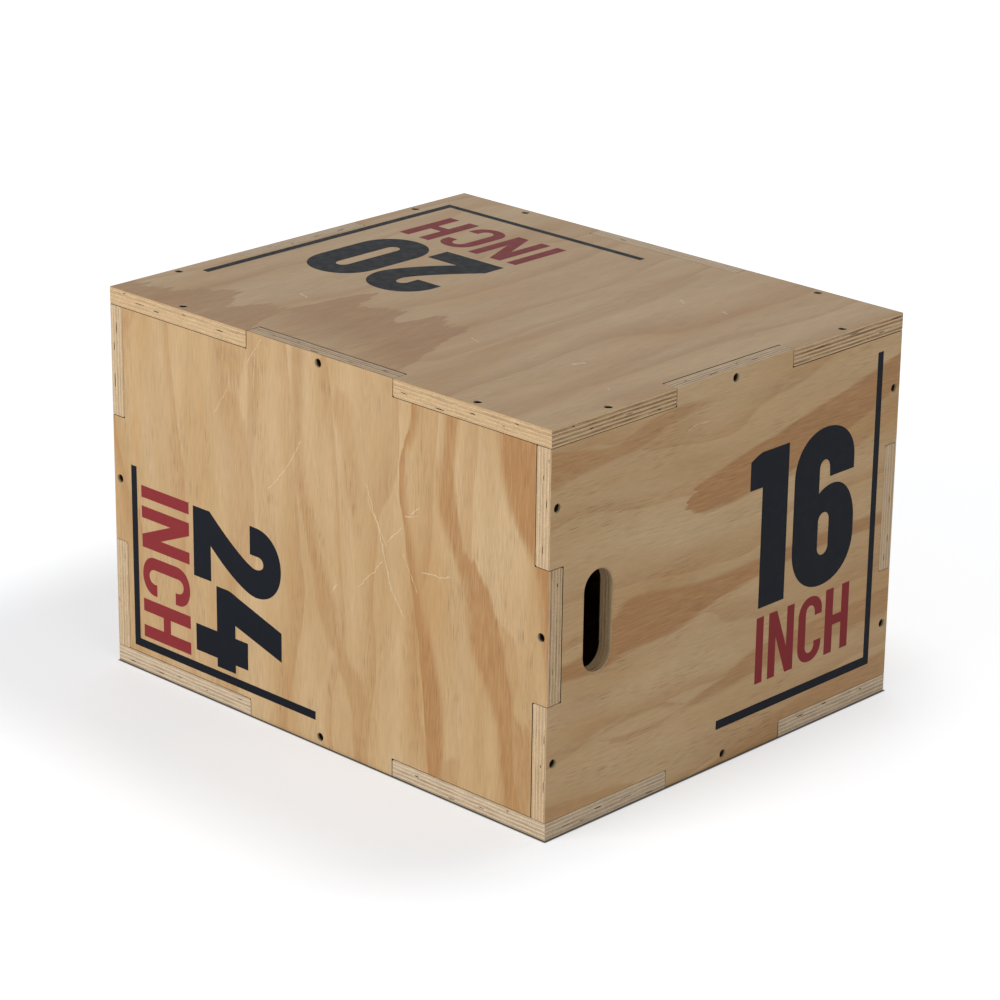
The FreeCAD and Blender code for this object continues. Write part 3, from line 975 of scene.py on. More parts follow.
@dataclass(frozen=True)
class Ink:
    """Screen-printed ink: a thin matt film that lets the fibres under it show as a faint relief."""

    name: str
    colour: str
    worn: str
    roughness: float = 0.5
    roughness_swing: tuple[float, float] = (-0.05, 0.08)
    refraction: float = 1.18
    mottle_width: float = 9.0
    mottle_grit: float = 0.6
    thin_span: tuple[float, float] = (0.45, 0.8)
    thin_cover: tuple[float, float] = (0.0, 0.3)
    sheen_span: tuple[float, float] = (0.3, 0.7)
    fibre_width: float = 1.6
    relief: float = 0.2
    relief_depth: float = 0.1

    def material(self) -> Material:
        """Make the ink's material."""
        material, tree = new_material(self.name)
        part = add_node(tree, "ShaderNodeTexCoord", out="Object")
        mottle = add_node(
            tree, "ShaderNodeTexNoise",
            {
                "Vector": part, "Scale": 1 / (self.mottle_width * MM), "Detail": 3.0,
                "Roughness": self.mottle_grit,
            },
        )
        thin = add_node(tree, "ShaderNodeMapRange", (mottle, *self.thin_span, *self.thin_cover))
        colour = add_node(
            tree, "ShaderNodeMix",
            {SHARE: thin, UNDER: linear(self.colour), OVER: linear(self.worn)}, BLEND,
            data_type="RGBA",
        )
        fibres = add_node(
            tree, "ShaderNodeTexNoise",
            {"Vector": part, "Scale": 1 / (self.fibre_width * MM), "Detail": 2.0},
        )
        bump = add_node(
            tree, "ShaderNodeBump",
            {"Strength": self.relief, "Distance": self.relief_depth * MM, "Height": fibres},
        )
        smooth, rough = (self.roughness + swing for swing in self.roughness_swing)
        sheen = add_node(tree, "ShaderNodeMapRange", (mottle, *self.sheen_span, smooth, rough))
        shader = add_node(
            tree, "ShaderNodeBsdfPrincipled",
            {"Base Color": colour, "Roughness": sheen, "Normal": bump, "IOR": self.refraction},
        )
        add_node(tree, "ShaderNodeOutputMaterial", (shader,), None)
        return material


@dataclass(frozen=True)
class ScrewSteel:
    """Phosphated screw steel: dark grey, with bare metal where the driver has turned in the recess."""

    dark: str = "#4A4845"
    bright: str = "#A5A39E"
    dark_roughness: float = 0.52
    bright_roughness: float = 0.34
    blotch_width: float = 1.4
    bare_span: tuple[float, float] = (0.48, 0.7)

    def material(self) -> Material:
        """Make the steel's material."""
        material, tree = new_material("phosphated_steel")
        part = add_node(tree, "ShaderNodeTexCoord", out="Object")
        blotch = add_node(
            tree, "ShaderNodeTexNoise",
            {"Vector": part, "Scale": 1 / (self.blotch_width * MM), "Detail": 4.0},
        )
        bare = add_node(tree, "ShaderNodeMapRange", (blotch, *self.bare_span, 0.0, 1.0))
        colour = add_node(
            tree, "ShaderNodeMix",
            {SHARE: bare, UNDER: linear(self.dark), OVER: linear(self.bright)}, BLEND,
            data_type="RGBA",
        )
        sheen = add_node(
            tree, "ShaderNodeMapRange", (bare, 0.0, 1.0, self.dark_roughness, self.bright_roughness)
        )
        shader = add_node(
            tree, "ShaderNodeBsdfPrincipled", {"Base Color": colour, "Roughness": sheen, "Metallic": 1.0}
        )
        add_node(tree, "ShaderNodeOutputMaterial", (shader,), None)
        return material


@dataclass(frozen=True)
class ShadedHollow:
    """Cut wood in hollows, with painted light and shade: pale at the mouth as a painted highlight, and
    darkening further down as painted shade.
    """

    name: str
    deep_shade: str
    lit_mouth: str
    mouth: float
    mouth_noise_width: float = 2.0
    roughness: float = 0.9
    gloss: float = 0.1

    def material(self, face: FaceFrame) -> Material:
        """Make the material of one panel's hollows, with its painted highlight and painted shade."""
        material, tree = new_material(f"{self.name}_{face.side.label}")
        part = add_node(tree, "ShaderNodeTexCoord", out="Object")
        on_face = add_node(tree, "ShaderNodeMapping", {"Vector": part, **face.mapping()})
        depth = add_node(tree, "ShaderNodeSeparateXYZ", (on_face,), "Z")
        mouth_noise = add_node(
            tree, "ShaderNodeTexNoise", {"Vector": on_face, "Scale": 1 / self.mouth_noise_width, "Detail": 2.0}
        )
        uneven = add_node(tree, "ShaderNodeMath", (mouth_noise, self.mouth), operation="MULTIPLY")
        below = add_node(tree, "ShaderNodeMath", (depth, uneven), operation="SUBTRACT")
        # Painted light and shade: the pale painted highlight at the mouth fades into painted shade deeper
        # down
        amount = add_node(tree, "ShaderNodeMapRange", (below, 0.0, self.mouth, 1.0, 0.0))
        colour = add_node(
            tree, "ShaderNodeMix", {SHARE: amount, UNDER: linear(self.deep_shade), OVER: linear(self.lit_mouth)},
            BLEND, data_type="RGBA",
        )
        shader = add_node(
            tree, "ShaderNodeBsdfPrincipled",
            {"Base Color": colour, "Roughness": self.roughness, "Specular IOR Level": self.gloss},
        )
        add_node(tree, "ShaderNodeOutputMaterial", (shader,), None)
        return material


@dataclass(frozen=True)
class TabEnd:
    """The end of a tab, as it shows in the face of the board next to it. Lengths are metres.

    The start lies on the tab's own outer face. From there the tab runs along, and its end looks out.
    """

    side: Side
    start: Vector
    along: Vector
    out: Vector
    length: float


@cache
def tab_ends(side: Side) -> tuple[TabEnd, ...]:
    """Find where the ends of a panel's tabs show.

    Args:
        side: The panel's side.

    Returns:
        Each tab's end.
    """
    found = []
    low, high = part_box(side.panel)
    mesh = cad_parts[side.panel].data
    inward = side.inward
    outer = inward.dot(FaceFrame(side).corner)
    for axis, along in ((side.right, side.down), (side.down, side.right)):
        for out in (axis, -axis):
            level = max(out.dot(low), out.dot(high))
            spans = []
            for polygon in mesh.polygons:
                points = [mesh.vertices[index].co for index in polygon.vertices]
                if all(level - out.dot(point) < CLOSE for point in points):
                    places = [along.dot(point) for point in points]
                    spans.append((min(places), max(places)))
            joined = []
            for start, end in sorted(spans):
                if joined and start <= joined[-1][1] + CLOSE:
                    joined[-1][1] = max(end, joined[-1][1])
                else:
                    joined.append([start, end])
            for start, end in joined:
                corner = out * level + along * start + inward * outer
                found.append(TabEnd(side, corner, along, out, end - start))
    return tuple(found)


# Joints that have opened more than the others: the board, the neighbour whose tab stands in it, and the gap
OPEN_JOINTS = {(Side.TOP, Side.RIGHT): 1.1, (Side.FRONT, Side.BOTTOM): 0.9}


@dataclass
class Board:
    """One plywood panel, with the room round its neighbours' tabs and the small hollows in its edges."""

    side: Side
    finish: Plywood
    # The walls of the gaps, voids and bores wear painted shade, and the bores also a pale painted highlight
    # at the mouth
    gap_wood: ShadedHollow
    bore_wood: ShadedHollow
    bores: tuple[tuple[Vector, Vector], ...]
    bore_diameter: float = 9.0
    bore_margin: float = 0.45
    face_skin: float = 0.25
    gaps: tuple[float, float] = (0.35, 0.75)
    end_gaps: tuple[float, float] = (0.6, 1.2)
    easing: float = 0.6
    void_spacing: float = 34.0
    void_lengths: tuple[float, float] = (1.6, 9.0)
    void_heights: tuple[float, float] = (0.5, 1.1)
    void_depth: float = 4.0
    first_void: tuple[float, float] = (0.3, 1.0)
    void_steps: tuple[float, float] = (0.4, 1.6)
    cutter_margin: float = 1.0

    def build(self) -> Object:
        """Make the board and tie it to the frame."""
        face = FaceFrame(self.side)
        board = add_object(f"{self.side.label}_board", self.closed_mesh())
        board.data.materials.append(self.finish.material(face, FIGURES[self.side]))
        cutters = [add_object("cutter", mesh) for mesh in self.cutters(face)]
        # Painted shade: the walls of the gaps and voids are coloured dark, in place of the shade deep
        # inside them
        gap_wood = self.gap_wood.material(face)
        for cutter in cutters:
            cutter.data.materials.append(gap_wood)
            cut = board.modifiers.new(cutter.name, "BOOLEAN")
            cut.operation = "DIFFERENCE"
            cut.solver = "EXACT"
            cut.material_mode = "TRANSFER"
            cut.object = cutter
        mesh = plain_mesh(board)
        board.modifiers.clear()
        board.data = mesh
        for cutter in cutters:
            bpy.data.objects.remove(cutter)
        self.paint_bore_shade(mesh, face)
        finish_piece(board, (self.side.panel,))
        return board

    def closed_mesh(self) -> Mesh:
        """The panel's solid as one closed mesh."""
        mesh = bpy.data.meshes.new(f"{self.side.label}_board")
        shape = bmesh.new()
        shape.from_mesh(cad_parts[self.side.panel].data)
        bmesh.ops.remove_doubles(shape, verts=shape.verts, dist=WELD)
        for polygon in shape.faces:
            polygon.smooth = False
            polygon.material_index = 0
        shape.to_mesh(mesh)
        shape.free()
        return mesh

    def paint_bore_shade(self, mesh: Mesh, face: FaceFrame) -> None:
        """Give the walls of the screw bores their painted light and shade: a pale painted highlight at the
        mouth and painted shade further down.
        """
        inward = self.side.inward
        mesh.materials.append(self.bore_wood.material(face))
        bored = len(mesh.materials) - 1
        seats = [seat for seat, out in self.bores if self.looks_out(out)]
        reach = (self.bore_diameter / 2 + self.bore_margin) * MM
        for polygon in mesh.polygons:
            middle = polygon.center
            near = any((middle - seat).cross(inward).length < reach for seat in seats)
            if near and inward.dot(middle - face.corner) > self.face_skin * MM:
                polygon.material_index = bored

    def looks_out(self, way: Vector) -> bool:
        """Whether a direction points straight out of the board's face."""
        return way.dot(self.side.inward) < -0.5

    def cutters(self, face: FaceFrame) -> Iterator[Mesh]:
        """Everything that is cut away: the gaps round each neighbour's tabs, then the hollows."""
        chance = random.Random(FIGURES[self.side].seed)
        ply = face.size[2] / self.finish.ply_count
        for side in Side:
            shape = bmesh.new()
            for tab in tab_ends(side):
                if side is self.side:
                    self.add_hollows(shape, tab, ply, chance)
                elif self.looks_out(tab.out):
                    self.add_gap(shape, tab, chance)
            bmesh.ops.recalc_face_normals(shape, faces=shape.faces)
            mesh = bpy.data.meshes.new("cutter")
            shape.to_mesh(mesh)
            shape.free()
            if mesh.polygons:
                yield mesh

    def add_gap(self, shape: bmesh.types.BMesh, tab: TabEnd, chance: random.Random) -> None:
        """Add the block that a neighbour's tab needs, with a little room behind the tab and at its ends.

        Args:
            shape: What is cut away so far.
            tab: The neighbour's tab.
            chance: Where the random numbers come from.
        """
        low, high = CAD_BOX
        inward = tab.side.inward
        thickness = FaceFrame(tab.side).size[2] * MM
        ends = []
        for end, way in ((tab.start, -tab.along), (tab.start + tab.along * tab.length, tab.along)):
            outermost = max(way.dot(low), way.dot(high)) - way.dot(end) < 2 * self.easing * MM
            room = 2 * self.easing if outermost else chance.uniform(*self.end_gaps)
            ends.append(end + way * room * MM)
        gap = OPEN_JOINTS.get((self.side, tab.side), chance.uniform(*self.gaps))
        margin = self.cutter_margin * MM
        first = ends[0] - inward * margin + tab.out * margin
        last = ends[1] + inward * (thickness + gap * MM) - tab.out * (thickness + margin)
        block = bmesh.ops.create_cube(shape, size=1.0)["verts"]
        size = Matrix.Diagonal([abs(length) for length in last - first]).to_4x4()
        bmesh.ops.transform(shape, matrix=Matrix.Translation((first + last) / 2) @ size, verts=block)

    def add_hollows(self, shape: bmesh.types.BMesh, tab: TabEnd, ply: float, chance: random.Random) -> None:
        """Add small lens shapes along a tab's end, where a ply has a gap.

        Args:
            shape: What is cut away so far.
            tab: The tab.
            ply: The thickness of a ply.
            chance: Where the random numbers come from.
        """
        inward = self.side.inward
        place = chance.uniform(*self.first_void) * self.void_spacing * MM
        while place < tab.length - self.void_spacing * MM / 3:
            number = chance.choice(range(1, self.finish.ply_count - 1))
            half_length = chance.triangular(*self.void_lengths, self.void_lengths[0]) * MM
            half_height = chance.uniform(*self.void_heights) * MM / 2
            middle = tab.start + tab.along * place + inward * (number + 0.5) * ply * MM
            lens = bmesh.ops.create_icosphere(shape, subdivisions=2, radius=1.0)["verts"]
            axes = (tab.along * half_length, tab.out * self.void_depth * MM, inward * half_height)
            basis = Matrix(axes).transposed().to_4x4()
            bmesh.ops.transform(shape, matrix=Matrix.Translation(middle) @ basis, verts=lens)
            place += half_length + chance.uniform(*self.void_steps) * self.void_spacing * MM


@dataclass(frozen=True)
class Outline:
    """A closed outline on the print.

    A stop of two numbers is reached by a straight line, and one of four by a bend towards its last two.
    """

    stops: tuple[tuple[float, ...], ...]
    tension: float = 0.58

    def draw(self, curve: Curve, placed: Matrix) -> None:
        """Add the outline to a curve.

        Args:
            curve: The curve.
            placed: Where the outline lies on the curve's plane.
        """
        spline = curve.splines.new("BEZIER")
        spline.use_cyclic_u = True
        spline.bezier_points.add(len(self.stops) - 1)
        points = [(placed @ Vector((*stop[:2], 0))) for stop in self.stops]
        for place, (knot, stop) in enumerate(zip(spline.bezier_points, self.stops)):
            before = spline.bezier_points[place - 1]
            knot.handle_left_type = knot.handle_right_type = "FREE"
            knot.co = points[place]
            start = points[place - 1]
            if len(stop) == 4:
                aim = placed @ Vector((*stop[2:], 0))
                knot.handle_left = points[place].lerp(aim, self.tension)
                before.handle_right = start.lerp(aim, self.tension)
            else:
                knot.handle_left = points[place].lerp(start, 1 / 3)
                before.handle_right = start.lerp(points[place], 1 / 3)


def pill(left: float, top: float, right: float, bottom: float, bend: float) -> Outline:
    """An upright pill shape, whose round ends are a given height."""
    middle = (left + right) / 2
    return Outline((
        (left, top + bend), (middle, top, left, top), (right, top + bend, right, top),
        (right, bottom - bend), (middle, bottom, right, bottom), (left, bottom - bend, left, bottom),
    ))


# Heavy narrow numerals and a unit in plain block letters, each from its upper left corner
GLYPHS = {
    "0": (pill(0, 0, 80, 142.5, 42), pill(32.5, 28, 47.5, 114, 9)),
    "1": (Outline(((0, 7), (17.5, 0, 10, 1), (57, 0), (57, 163), (18.5, 163), (18.5, 36.5), (0, 36.5))),),
    "2": (Outline((
        (0, 45), (0, 37), (37.5, 0, 0, 0), (74, 37, 74, 0), (37.5, 103, 74, 61.5), (75.5, 103),
        (75.5, 129), (1, 129), (1, 104), (44, 37, 44, 54), (37, 25.5, 44, 25.5), (30, 33, 30, 25.5),
        (30, 45),
    )),),
    "4": (Outline((
        (23, 0), (53.5, 0), (34.5, 68), (48, 68), (48, 49.5), (76.5, 49.5), (76.5, 68), (85.5, 68),
        (85.5, 95.5), (76.5, 95.5), (76.5, 127), (48, 127), (48, 95.5), (0, 95.5), (0, 79),
        (3.5, 65, 0, 74),
    )),),
    "6": (
        Outline((
            (0, 45.5), (46, 0, 0, 0), (92, 40.5, 92, 0), (92, 53.5), (54.5, 53.5), (54, 45),
            (46, 34, 54, 34), (38.5, 43, 38.5, 34), (38.5, 68), (60, 61.5, 47, 61.5),
            (94.5, 108, 94.5, 61.5), (94.5, 120.5), (46.5, 166.5, 94.5, 166.5), (0, 120.5, 0, 166.5),
        )),
        pill(39, 89.5, 55.5, 134, 9),
    ),
    "INCH": (
        Outline(((0, 0), (11, 0), (11, 69), (0, 69))),
        Outline((
            (19, 69), (19, 0), (31, 0), (46.5, 41.5), (46.5, 0), (57.5, 0), (57.5, 69), (45.5, 69),
            (30, 27.5), (30, 69),
        )),
        Outline((
            (64.5, 19.5), (82.5, 0, 64.5, 0), (100.5, 16.5, 100.5, 0), (100.5, 21.5), (89.5, 21.5),
            (89.5, 18.5), (82.5, 9.5, 89.5, 9.5), (76, 17.5, 76, 9.5), (76, 51.5),
            (82.5, 59.5, 76, 59.5), (89.5, 51.5, 89.5, 59.5), (89.5, 48.5), (100.5, 48.5), (100.5, 51.5),
            (82.5, 69, 100.5, 69), (64.5, 51.5, 64.5, 69),
        )),
        Outline((
            (106, 0), (118, 0), (118, 29.5), (131, 29.5), (131, 0), (142.5, 0), (142.5, 69), (131, 69),
            (131, 40), (118, 40), (118, 69), (106, 69),
        )),
    ),
}


@dataclass(frozen=True)
class Mark:
    """A numeral or a word, and the left, top, right and bottom of its place on the face."""

    glyph: str
    place: tuple[float, float, float, float]

    def draw(self, curve: Curve, turn: Turn) -> None:
        """Add the mark to a curve on the face's plane.

        Args:
            curve: The curve.
            turn: How the print stands on the face.
        """
        left, top, right, bottom = self.place
        middle = Vector(((left + right) / 2, (top + bottom) / 2, 0))
        across, down = right - left, bottom - top
        reading, upright = (down, across) if turn is Turn.CLOCKWISE else (across, down)
        stops = [stop for outline in GLYPHS[self.glyph] for stop in outline.stops]
        width, height = (max(stop[axis] for stop in stops) for axis in (0, 1))
        placed = (
            Matrix.Translation(middle)
            @ Matrix.Rotation(turn.value * math.pi / 2, 4, "Z")
            @ Matrix.Diagonal((reading / width, upright / height, 1, 1))
            @ Matrix.Translation((-width / 2, -height / 2, 0))
        )
        for outline in GLYPHS[self.glyph]:
            outline.draw(curve, placed)


@dataclass
class HeightPrint:
    """The height of the box when this print stands upright, with a ruled corner beside it."""

    side: Side
    turn: Turn
    numerals: tuple[Mark, ...]
    unit: Mark
    rule: Outline
    navy: Material
    red: Material
    film: float = 0.04
    bite: float = 0.03
    steps: int = 14

    def build(self) -> list[Object]:
        """Make the dark film and the red one."""
        dark = self.flat_curve("dark")
        for numeral in self.numerals:
            numeral.draw(dark, self.turn)
        self.rule.draw(dark, Matrix.Identity(4))
        red = self.flat_curve("red")
        self.unit.draw(red, self.turn)
        name = self.side.label
        return [
            self.lay(dark, f"{name}_height_print", self.navy),
            self.lay(red, f"{name}_unit_print", self.red),
        ]

    def flat_curve(self, name: str) -> Curve:
        """An empty flat curve that fills to a film."""
        curve = bpy.data.curves.new(name, "CURVE")
        curve.dimensions = "2D"
        curve.fill_mode = "BOTH"
        curve.resolution_u = self.steps
        curve.extrude = (self.film + self.bite) / 2
        return curve

    def lay(self, curve: Curve, name: str, ink: Material) -> Object:
        """Lay a film on the face.

        Args:
            curve: The film's outlines, in millimetres on the face.
            name: The piece's name.
            ink: Its material.

        Returns:
            The piece.
        """
        drawn = add_object("drawn", curve)
        mesh = plain_mesh(drawn)
        bpy.data.objects.remove(drawn)
        mesh.name = name
        shape = bmesh.new()
        shape.from_mesh(mesh)
        bmesh.ops.remove_doubles(shape, verts=shape.verts, dist=MM)
        bmesh.ops.translate(shape, verts=shape.verts, vec=(0, 0, (self.bite - self.film) / 2))
        bmesh.ops.recalc_face_normals(shape, faces=shape.faces)
        shape.to_mesh(mesh)
        shape.free()
        mesh.transform(FaceFrame(self.side).to_part())
        mesh.materials.clear()
        mesh.materials.append(ink)
        piece = add_object(name, mesh)
        finish_piece(piece)
        return piece


def ruled_corner(
    corner: tuple[float, float], ends: tuple[float, float], widths: tuple[float, float]
) -> Outline:
    """Two lines that meet in a square corner.

    Args:
        corner: The outer corner of the two lines.
        ends: Where the level line ends, and where the upright one ends.
        widths: How thick the level line and the upright one are, towards the print.

    Returns:
        The outline.
    """
    (x, y), (end_x, end_y), (level, upright) = corner, ends, widths
    inner_x = x + math.copysign(upright, end_x - x)
    inner_y = y + math.copysign(level, end_y - y)
    return Outline(((x, y), (end_x, y), (end_x, inner_y), (inner_x, inner_y), (inner_x, end_y), (x, end_y)))


@dataclass
class ScrewSet:
    """The pan-head wood screws that draw the joints together, three to an edge."""

    steel: Material
    head_diameter: float = 8.0
    head_height: float = 3.0
    recess_span: float = 4.6
    recess_width: float = 1.3
    recess_depth: float = 1.9
    shank_diameter: float = 4.2
    shank_length: float = 12.0
    core_diameter: float = 3.0
    length: float = 32.0
    tip_length: float = 5.0
    thread_pitch: float = 2.6
    ridge_foot: float = 0.22
    crown: float = 2.6
    rings: int = 71
    sides: int = 16
    seed: int = 11
    smooth_angle: float = 35.0

    @cached_property
    def places(self) -> tuple[tuple[str, Vector, Vector], ...]:
        """Each screw's node, the seat of its head, and the way that its head faces."""
        found = []
        for node in sorted(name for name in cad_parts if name.endswith("_screws")):
            outs = [-side.inward for side in Side if side.label in node.split("_")]
            for points in self.islands(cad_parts[node].data):
                low = Vector(min(point[axis] for point in points) for axis in range(3))
                high = Vector(max(point[axis] for point in points) for axis in range(3))
                out = max(outs, key=lambda way: abs(way.dot(high - low)))
                top = max(out.dot(point) for point in points)
                middle = (low + high) / 2
                seat = middle + out * (top - self.head_height * MM - out.dot(middle))
                found.append((node, seat, out))
        return tuple(found)

    def islands(self, mesh: Mesh) -> Iterator[list[Vector]]:
        """The points of each separate solid in a mesh, in the order of the solids' first points."""
        shape = bmesh.new()
        shape.from_mesh(mesh)
        bmesh.ops.remove_doubles(shape, verts=shape.verts, dist=WELD)
        todo = set(shape.verts)
        for first in shape.verts:
            if first not in todo:
                continue
            todo.remove(first)
            island, front = [], [first]
            while front:
                vertex = front.pop()
                island.append(vertex.co.copy())
                near = {edge.other_vert(vertex) for edge in vertex.link_edges} & todo
                todo -= near
                front += near
            yield island
        shape.free()

    def build(self) -> Object:
        """Make all the screws as one piece."""
        nodes, seats, outs = zip(*self.places)
        mesh = bpy.data.meshes.new("screw_seats")
        mesh.from_pydata(seats, [], [])
        facing = mesh.attributes.new("facing", "FLOAT_VECTOR", "POINT")
        for value, out in zip(facing.data, outs):
            value.vector = out
        screws = add_object("wood_screws", mesh)
        modifier = screws.modifiers.new("screws", "NODES")
        modifier.node_group = self.tree()
        inputs = self.inputs()
        for item in modifier.node_group.interface.items_tree:
            if item.name in inputs:
                modifier[item.identifier] = inputs[item.name]
        solid = plain_mesh(screws)
        screws.modifiers.clear()
        screws.data = solid
        solid.name = "wood_screws"
        for polygon in solid.polygons:
            polygon.use_smooth = True
        solid.set_sharp_from_angle(angle=math.radians(self.smooth_angle))
        finish_piece(screws, tuple(sorted(set(nodes))))
        return screws

    def inputs(self) -> dict[str, object]:
        """The named inputs of the screws' tree: lengths in metres, counts and the steel."""
        names = (
            "head_diameter", "head_height", "recess_span", "recess_width", "recess_depth", "shank_diameter",
            "shank_length", "core_diameter", "length", "tip_length", "thread_pitch",
        )
        lengths = {name: getattr(self, name) * MM for name in names}
        return {**lengths, "rings": self.rings, "sides": self.sides, "seed": self.seed, "steel": self.steel}

    def tree(self) -> NodeTree:
        """The tree that turns a screw and puts one on each seat, each driven home at its own angle."""
        tree = bpy.data.node_groups.new("wood_screws", "GeometryNodeTree")
        kinds = {float: "NodeSocketFloat", int: "NodeSocketInt", Material: "NodeSocketMaterial"}
        tree.interface.new_socket("seats", in_out="INPUT", socket_type="NodeSocketGeometry")
        for name, value in self.inputs().items():
            tree.interface.new_socket(name, in_out="INPUT", socket_type=kinds[type(value)])
        tree.interface.new_socket("screws", in_out="OUTPUT", socket_type="NodeSocketGeometry")
        sizes = add_node(tree, "NodeGroupInput", out="seats").node.outputs
        screw = self.recessed(tree, sizes, self.threaded(tree, sizes, self.turned(tree, sizes)))
        facing = add_node(
            tree, "GeometryNodeInputNamedAttribute", {"Name": "facing"}, "Attribute",
            data_type="FLOAT_VECTOR",
        )
        upright = add_node(tree, "FunctionNodeAlignRotationToVector", {"Vector": facing}, axis="Z")
        # Where a random float's limits and its output stand among the node's sockets
        least, most, drawn = 2, 3, 1
        angle = add_node(
            tree, "FunctionNodeRandomValue", {least: 0.0, most: math.tau, "Seed": sizes["seed"]}, drawn,
            data_type="FLOAT",
        )
        driven = add_node(tree, "FunctionNodeAxisAngleToRotation", ((0, 0, 1), angle))
        turn = add_node(tree, "FunctionNodeRotateRotation", (upright, driven), rotation_space="LOCAL")
        placed = add_node(
            tree, "GeometryNodeInstanceOnPoints",
            {"Points": sizes["seats"], "Instance": screw, "Rotation": turn},
        )
        real = add_node(tree, "GeometryNodeRealizeInstances", (placed,))
        steel = add_node(tree, "GeometryNodeSetMaterial", {"Geometry": real, "Material": sizes["steel"]})
        add_node(tree, "NodeGroupOutput", (steel,), None)
        return tree

    def turned(self, tree: NodeTree, sizes: NodeOutputs) -> NodeSocket:
        """Turn the blank: a point, a core, a plain shank and a crowned head that is seated at zero."""
        point = add_node(tree, "ShaderNodeMath", (sizes["length"], -1.0), operation="MULTIPLY")
        start = add_node(tree, "ShaderNodeCombineXYZ", {"Z": point})
        end = add_node(tree, "ShaderNodeCombineXYZ", {"Z": sizes["head_height"]})
        axis = add_node(tree, "GeometryNodeCurvePrimitiveLine", {"Start": start, "End": end})
        axis = add_node(tree, "GeometryNodeResampleCurve", {"Curve": axis, "Count": sizes["rings"]})
        run = add_node(tree, "GeometryNodeSplineParameter", out="Length")
        core, shank, head = (
            add_node(tree, "ShaderNodeMath", (sizes[f"{stretch}_diameter"], 0.5), operation="MULTIPLY")
            for stretch in ("core", "shank", "head")
        )
        radius = add_node(tree, "ShaderNodeMapRange", (run, 0.0, sizes["tip_length"], 0.0, core))
        neck = add_node(
            tree, "ShaderNodeMath", (sizes["length"], sizes["shank_length"]), operation="SUBTRACT"
        )
        plain = add_node(tree, "ShaderNodeMath", (run, neck), operation="GREATER_THAN")
        radius = add_node(
            tree, "ShaderNodeMix", {"Factor": plain, "A": radius, "B": shank}, data_type="FLOAT"
        )
        past = add_node(tree, "ShaderNodeMath", (run, sizes["length"]), operation="SUBTRACT")
        rise = add_node(
            tree, "ShaderNodeMath", (past, sizes["head_height"]), operation="DIVIDE", use_clamp=True
        )
        rise = add_node(tree, "ShaderNodeMath", (rise, self.crown), operation="POWER")
        dome = add_node(tree, "ShaderNodeMath", (1.0, rise), operation="SUBTRACT", use_clamp=True)
        dome = add_node(tree, "ShaderNodeMath", (dome, 1 / self.crown), operation="POWER")
        dome = add_node(tree, "ShaderNodeMath", (dome, head), operation="MULTIPLY")
        seated = add_node(tree, "ShaderNodeMath", (past, -CLOSE), operation="GREATER_THAN")
        radius = add_node(
            tree, "ShaderNodeMix", {"Factor": seated, "A": radius, "B": dome}, data_type="FLOAT"
        )
        ring = add_node(
            tree, "GeometryNodeCurvePrimitiveCircle", {"Resolution": sizes["sides"], "Radius": 1.0}
        )
        blank = add_node(
            tree, "GeometryNodeCurveToMesh",
            {"Curve": axis, "Profile Curve": ring, "Scale": radius, "Fill Caps": True},
        )
        return add_node(tree, "GeometryNodeMergeByDistance", {"Geometry": blank, "Distance": CLOSE})

    def threaded(self, tree: NodeTree, sizes: NodeOutputs, blank: NodeSocket) -> NodeSocket:
        """Raise a thread that climbs round the core from the point to the shank."""
        place = add_node(tree, "GeometryNodeInputPosition")
        x = add_node(tree, "ShaderNodeSeparateXYZ", (place,))
        y, z = x.node.outputs[1], x.node.outputs[2]
        angle = add_node(tree, "ShaderNodeMath", (y, x), operation="ARCTAN2")
        lead = add_node(tree, "ShaderNodeMath", (angle, 1 / math.tau), operation="MULTIPLY")
        turns = add_node(tree, "ShaderNodeMath", (z, sizes["thread_pitch"]), operation="DIVIDE")
        phase = add_node(tree, "ShaderNodeMath", (turns, lead), operation="SUBTRACT")
        wave = add_node(tree, "ShaderNodeMath", (phase, 0.5), operation="PINGPONG")
        ridge = add_node(tree, "ShaderNodeMapRange", (wave, self.ridge_foot, 0.5, 0.0, 1.0))
        deep = add_node(
            tree, "ShaderNodeMath", (sizes["shank_diameter"], sizes["core_diameter"]), operation="SUBTRACT"
        )
        height = add_node(tree, "ShaderNodeMath", (ridge, deep), operation="MULTIPLY")
        height = add_node(tree, "ShaderNodeMath", (height, 0.5), operation="MULTIPLY")
        run = add_node(tree, "ShaderNodeMath", (z, sizes["length"]), operation="ADD")
        neck = add_node(
            tree, "ShaderNodeMath", (sizes["length"], sizes["shank_length"]), operation="SUBTRACT"
        )
        above = add_node(tree, "ShaderNodeMath", (run, sizes["tip_length"]), operation="GREATER_THAN")
        below = add_node(tree, "ShaderNodeMath", (run, neck), operation="LESS_THAN")
        for limit in (above, below):
            height = add_node(tree, "ShaderNodeMath", (height, limit), operation="MULTIPLY")
        flat = add_node(tree, "ShaderNodeCombineXYZ", (x, y))
        outward = add_node(tree, "ShaderNodeVectorMath", (flat,), operation="NORMALIZE")
        offset = add_node(tree, "ShaderNodeVectorMath", {0: outward, "Scale": height}, operation="SCALE")
        return add_node(tree, "GeometryNodeSetPosition", {"Geometry": blank, "Offset": offset})

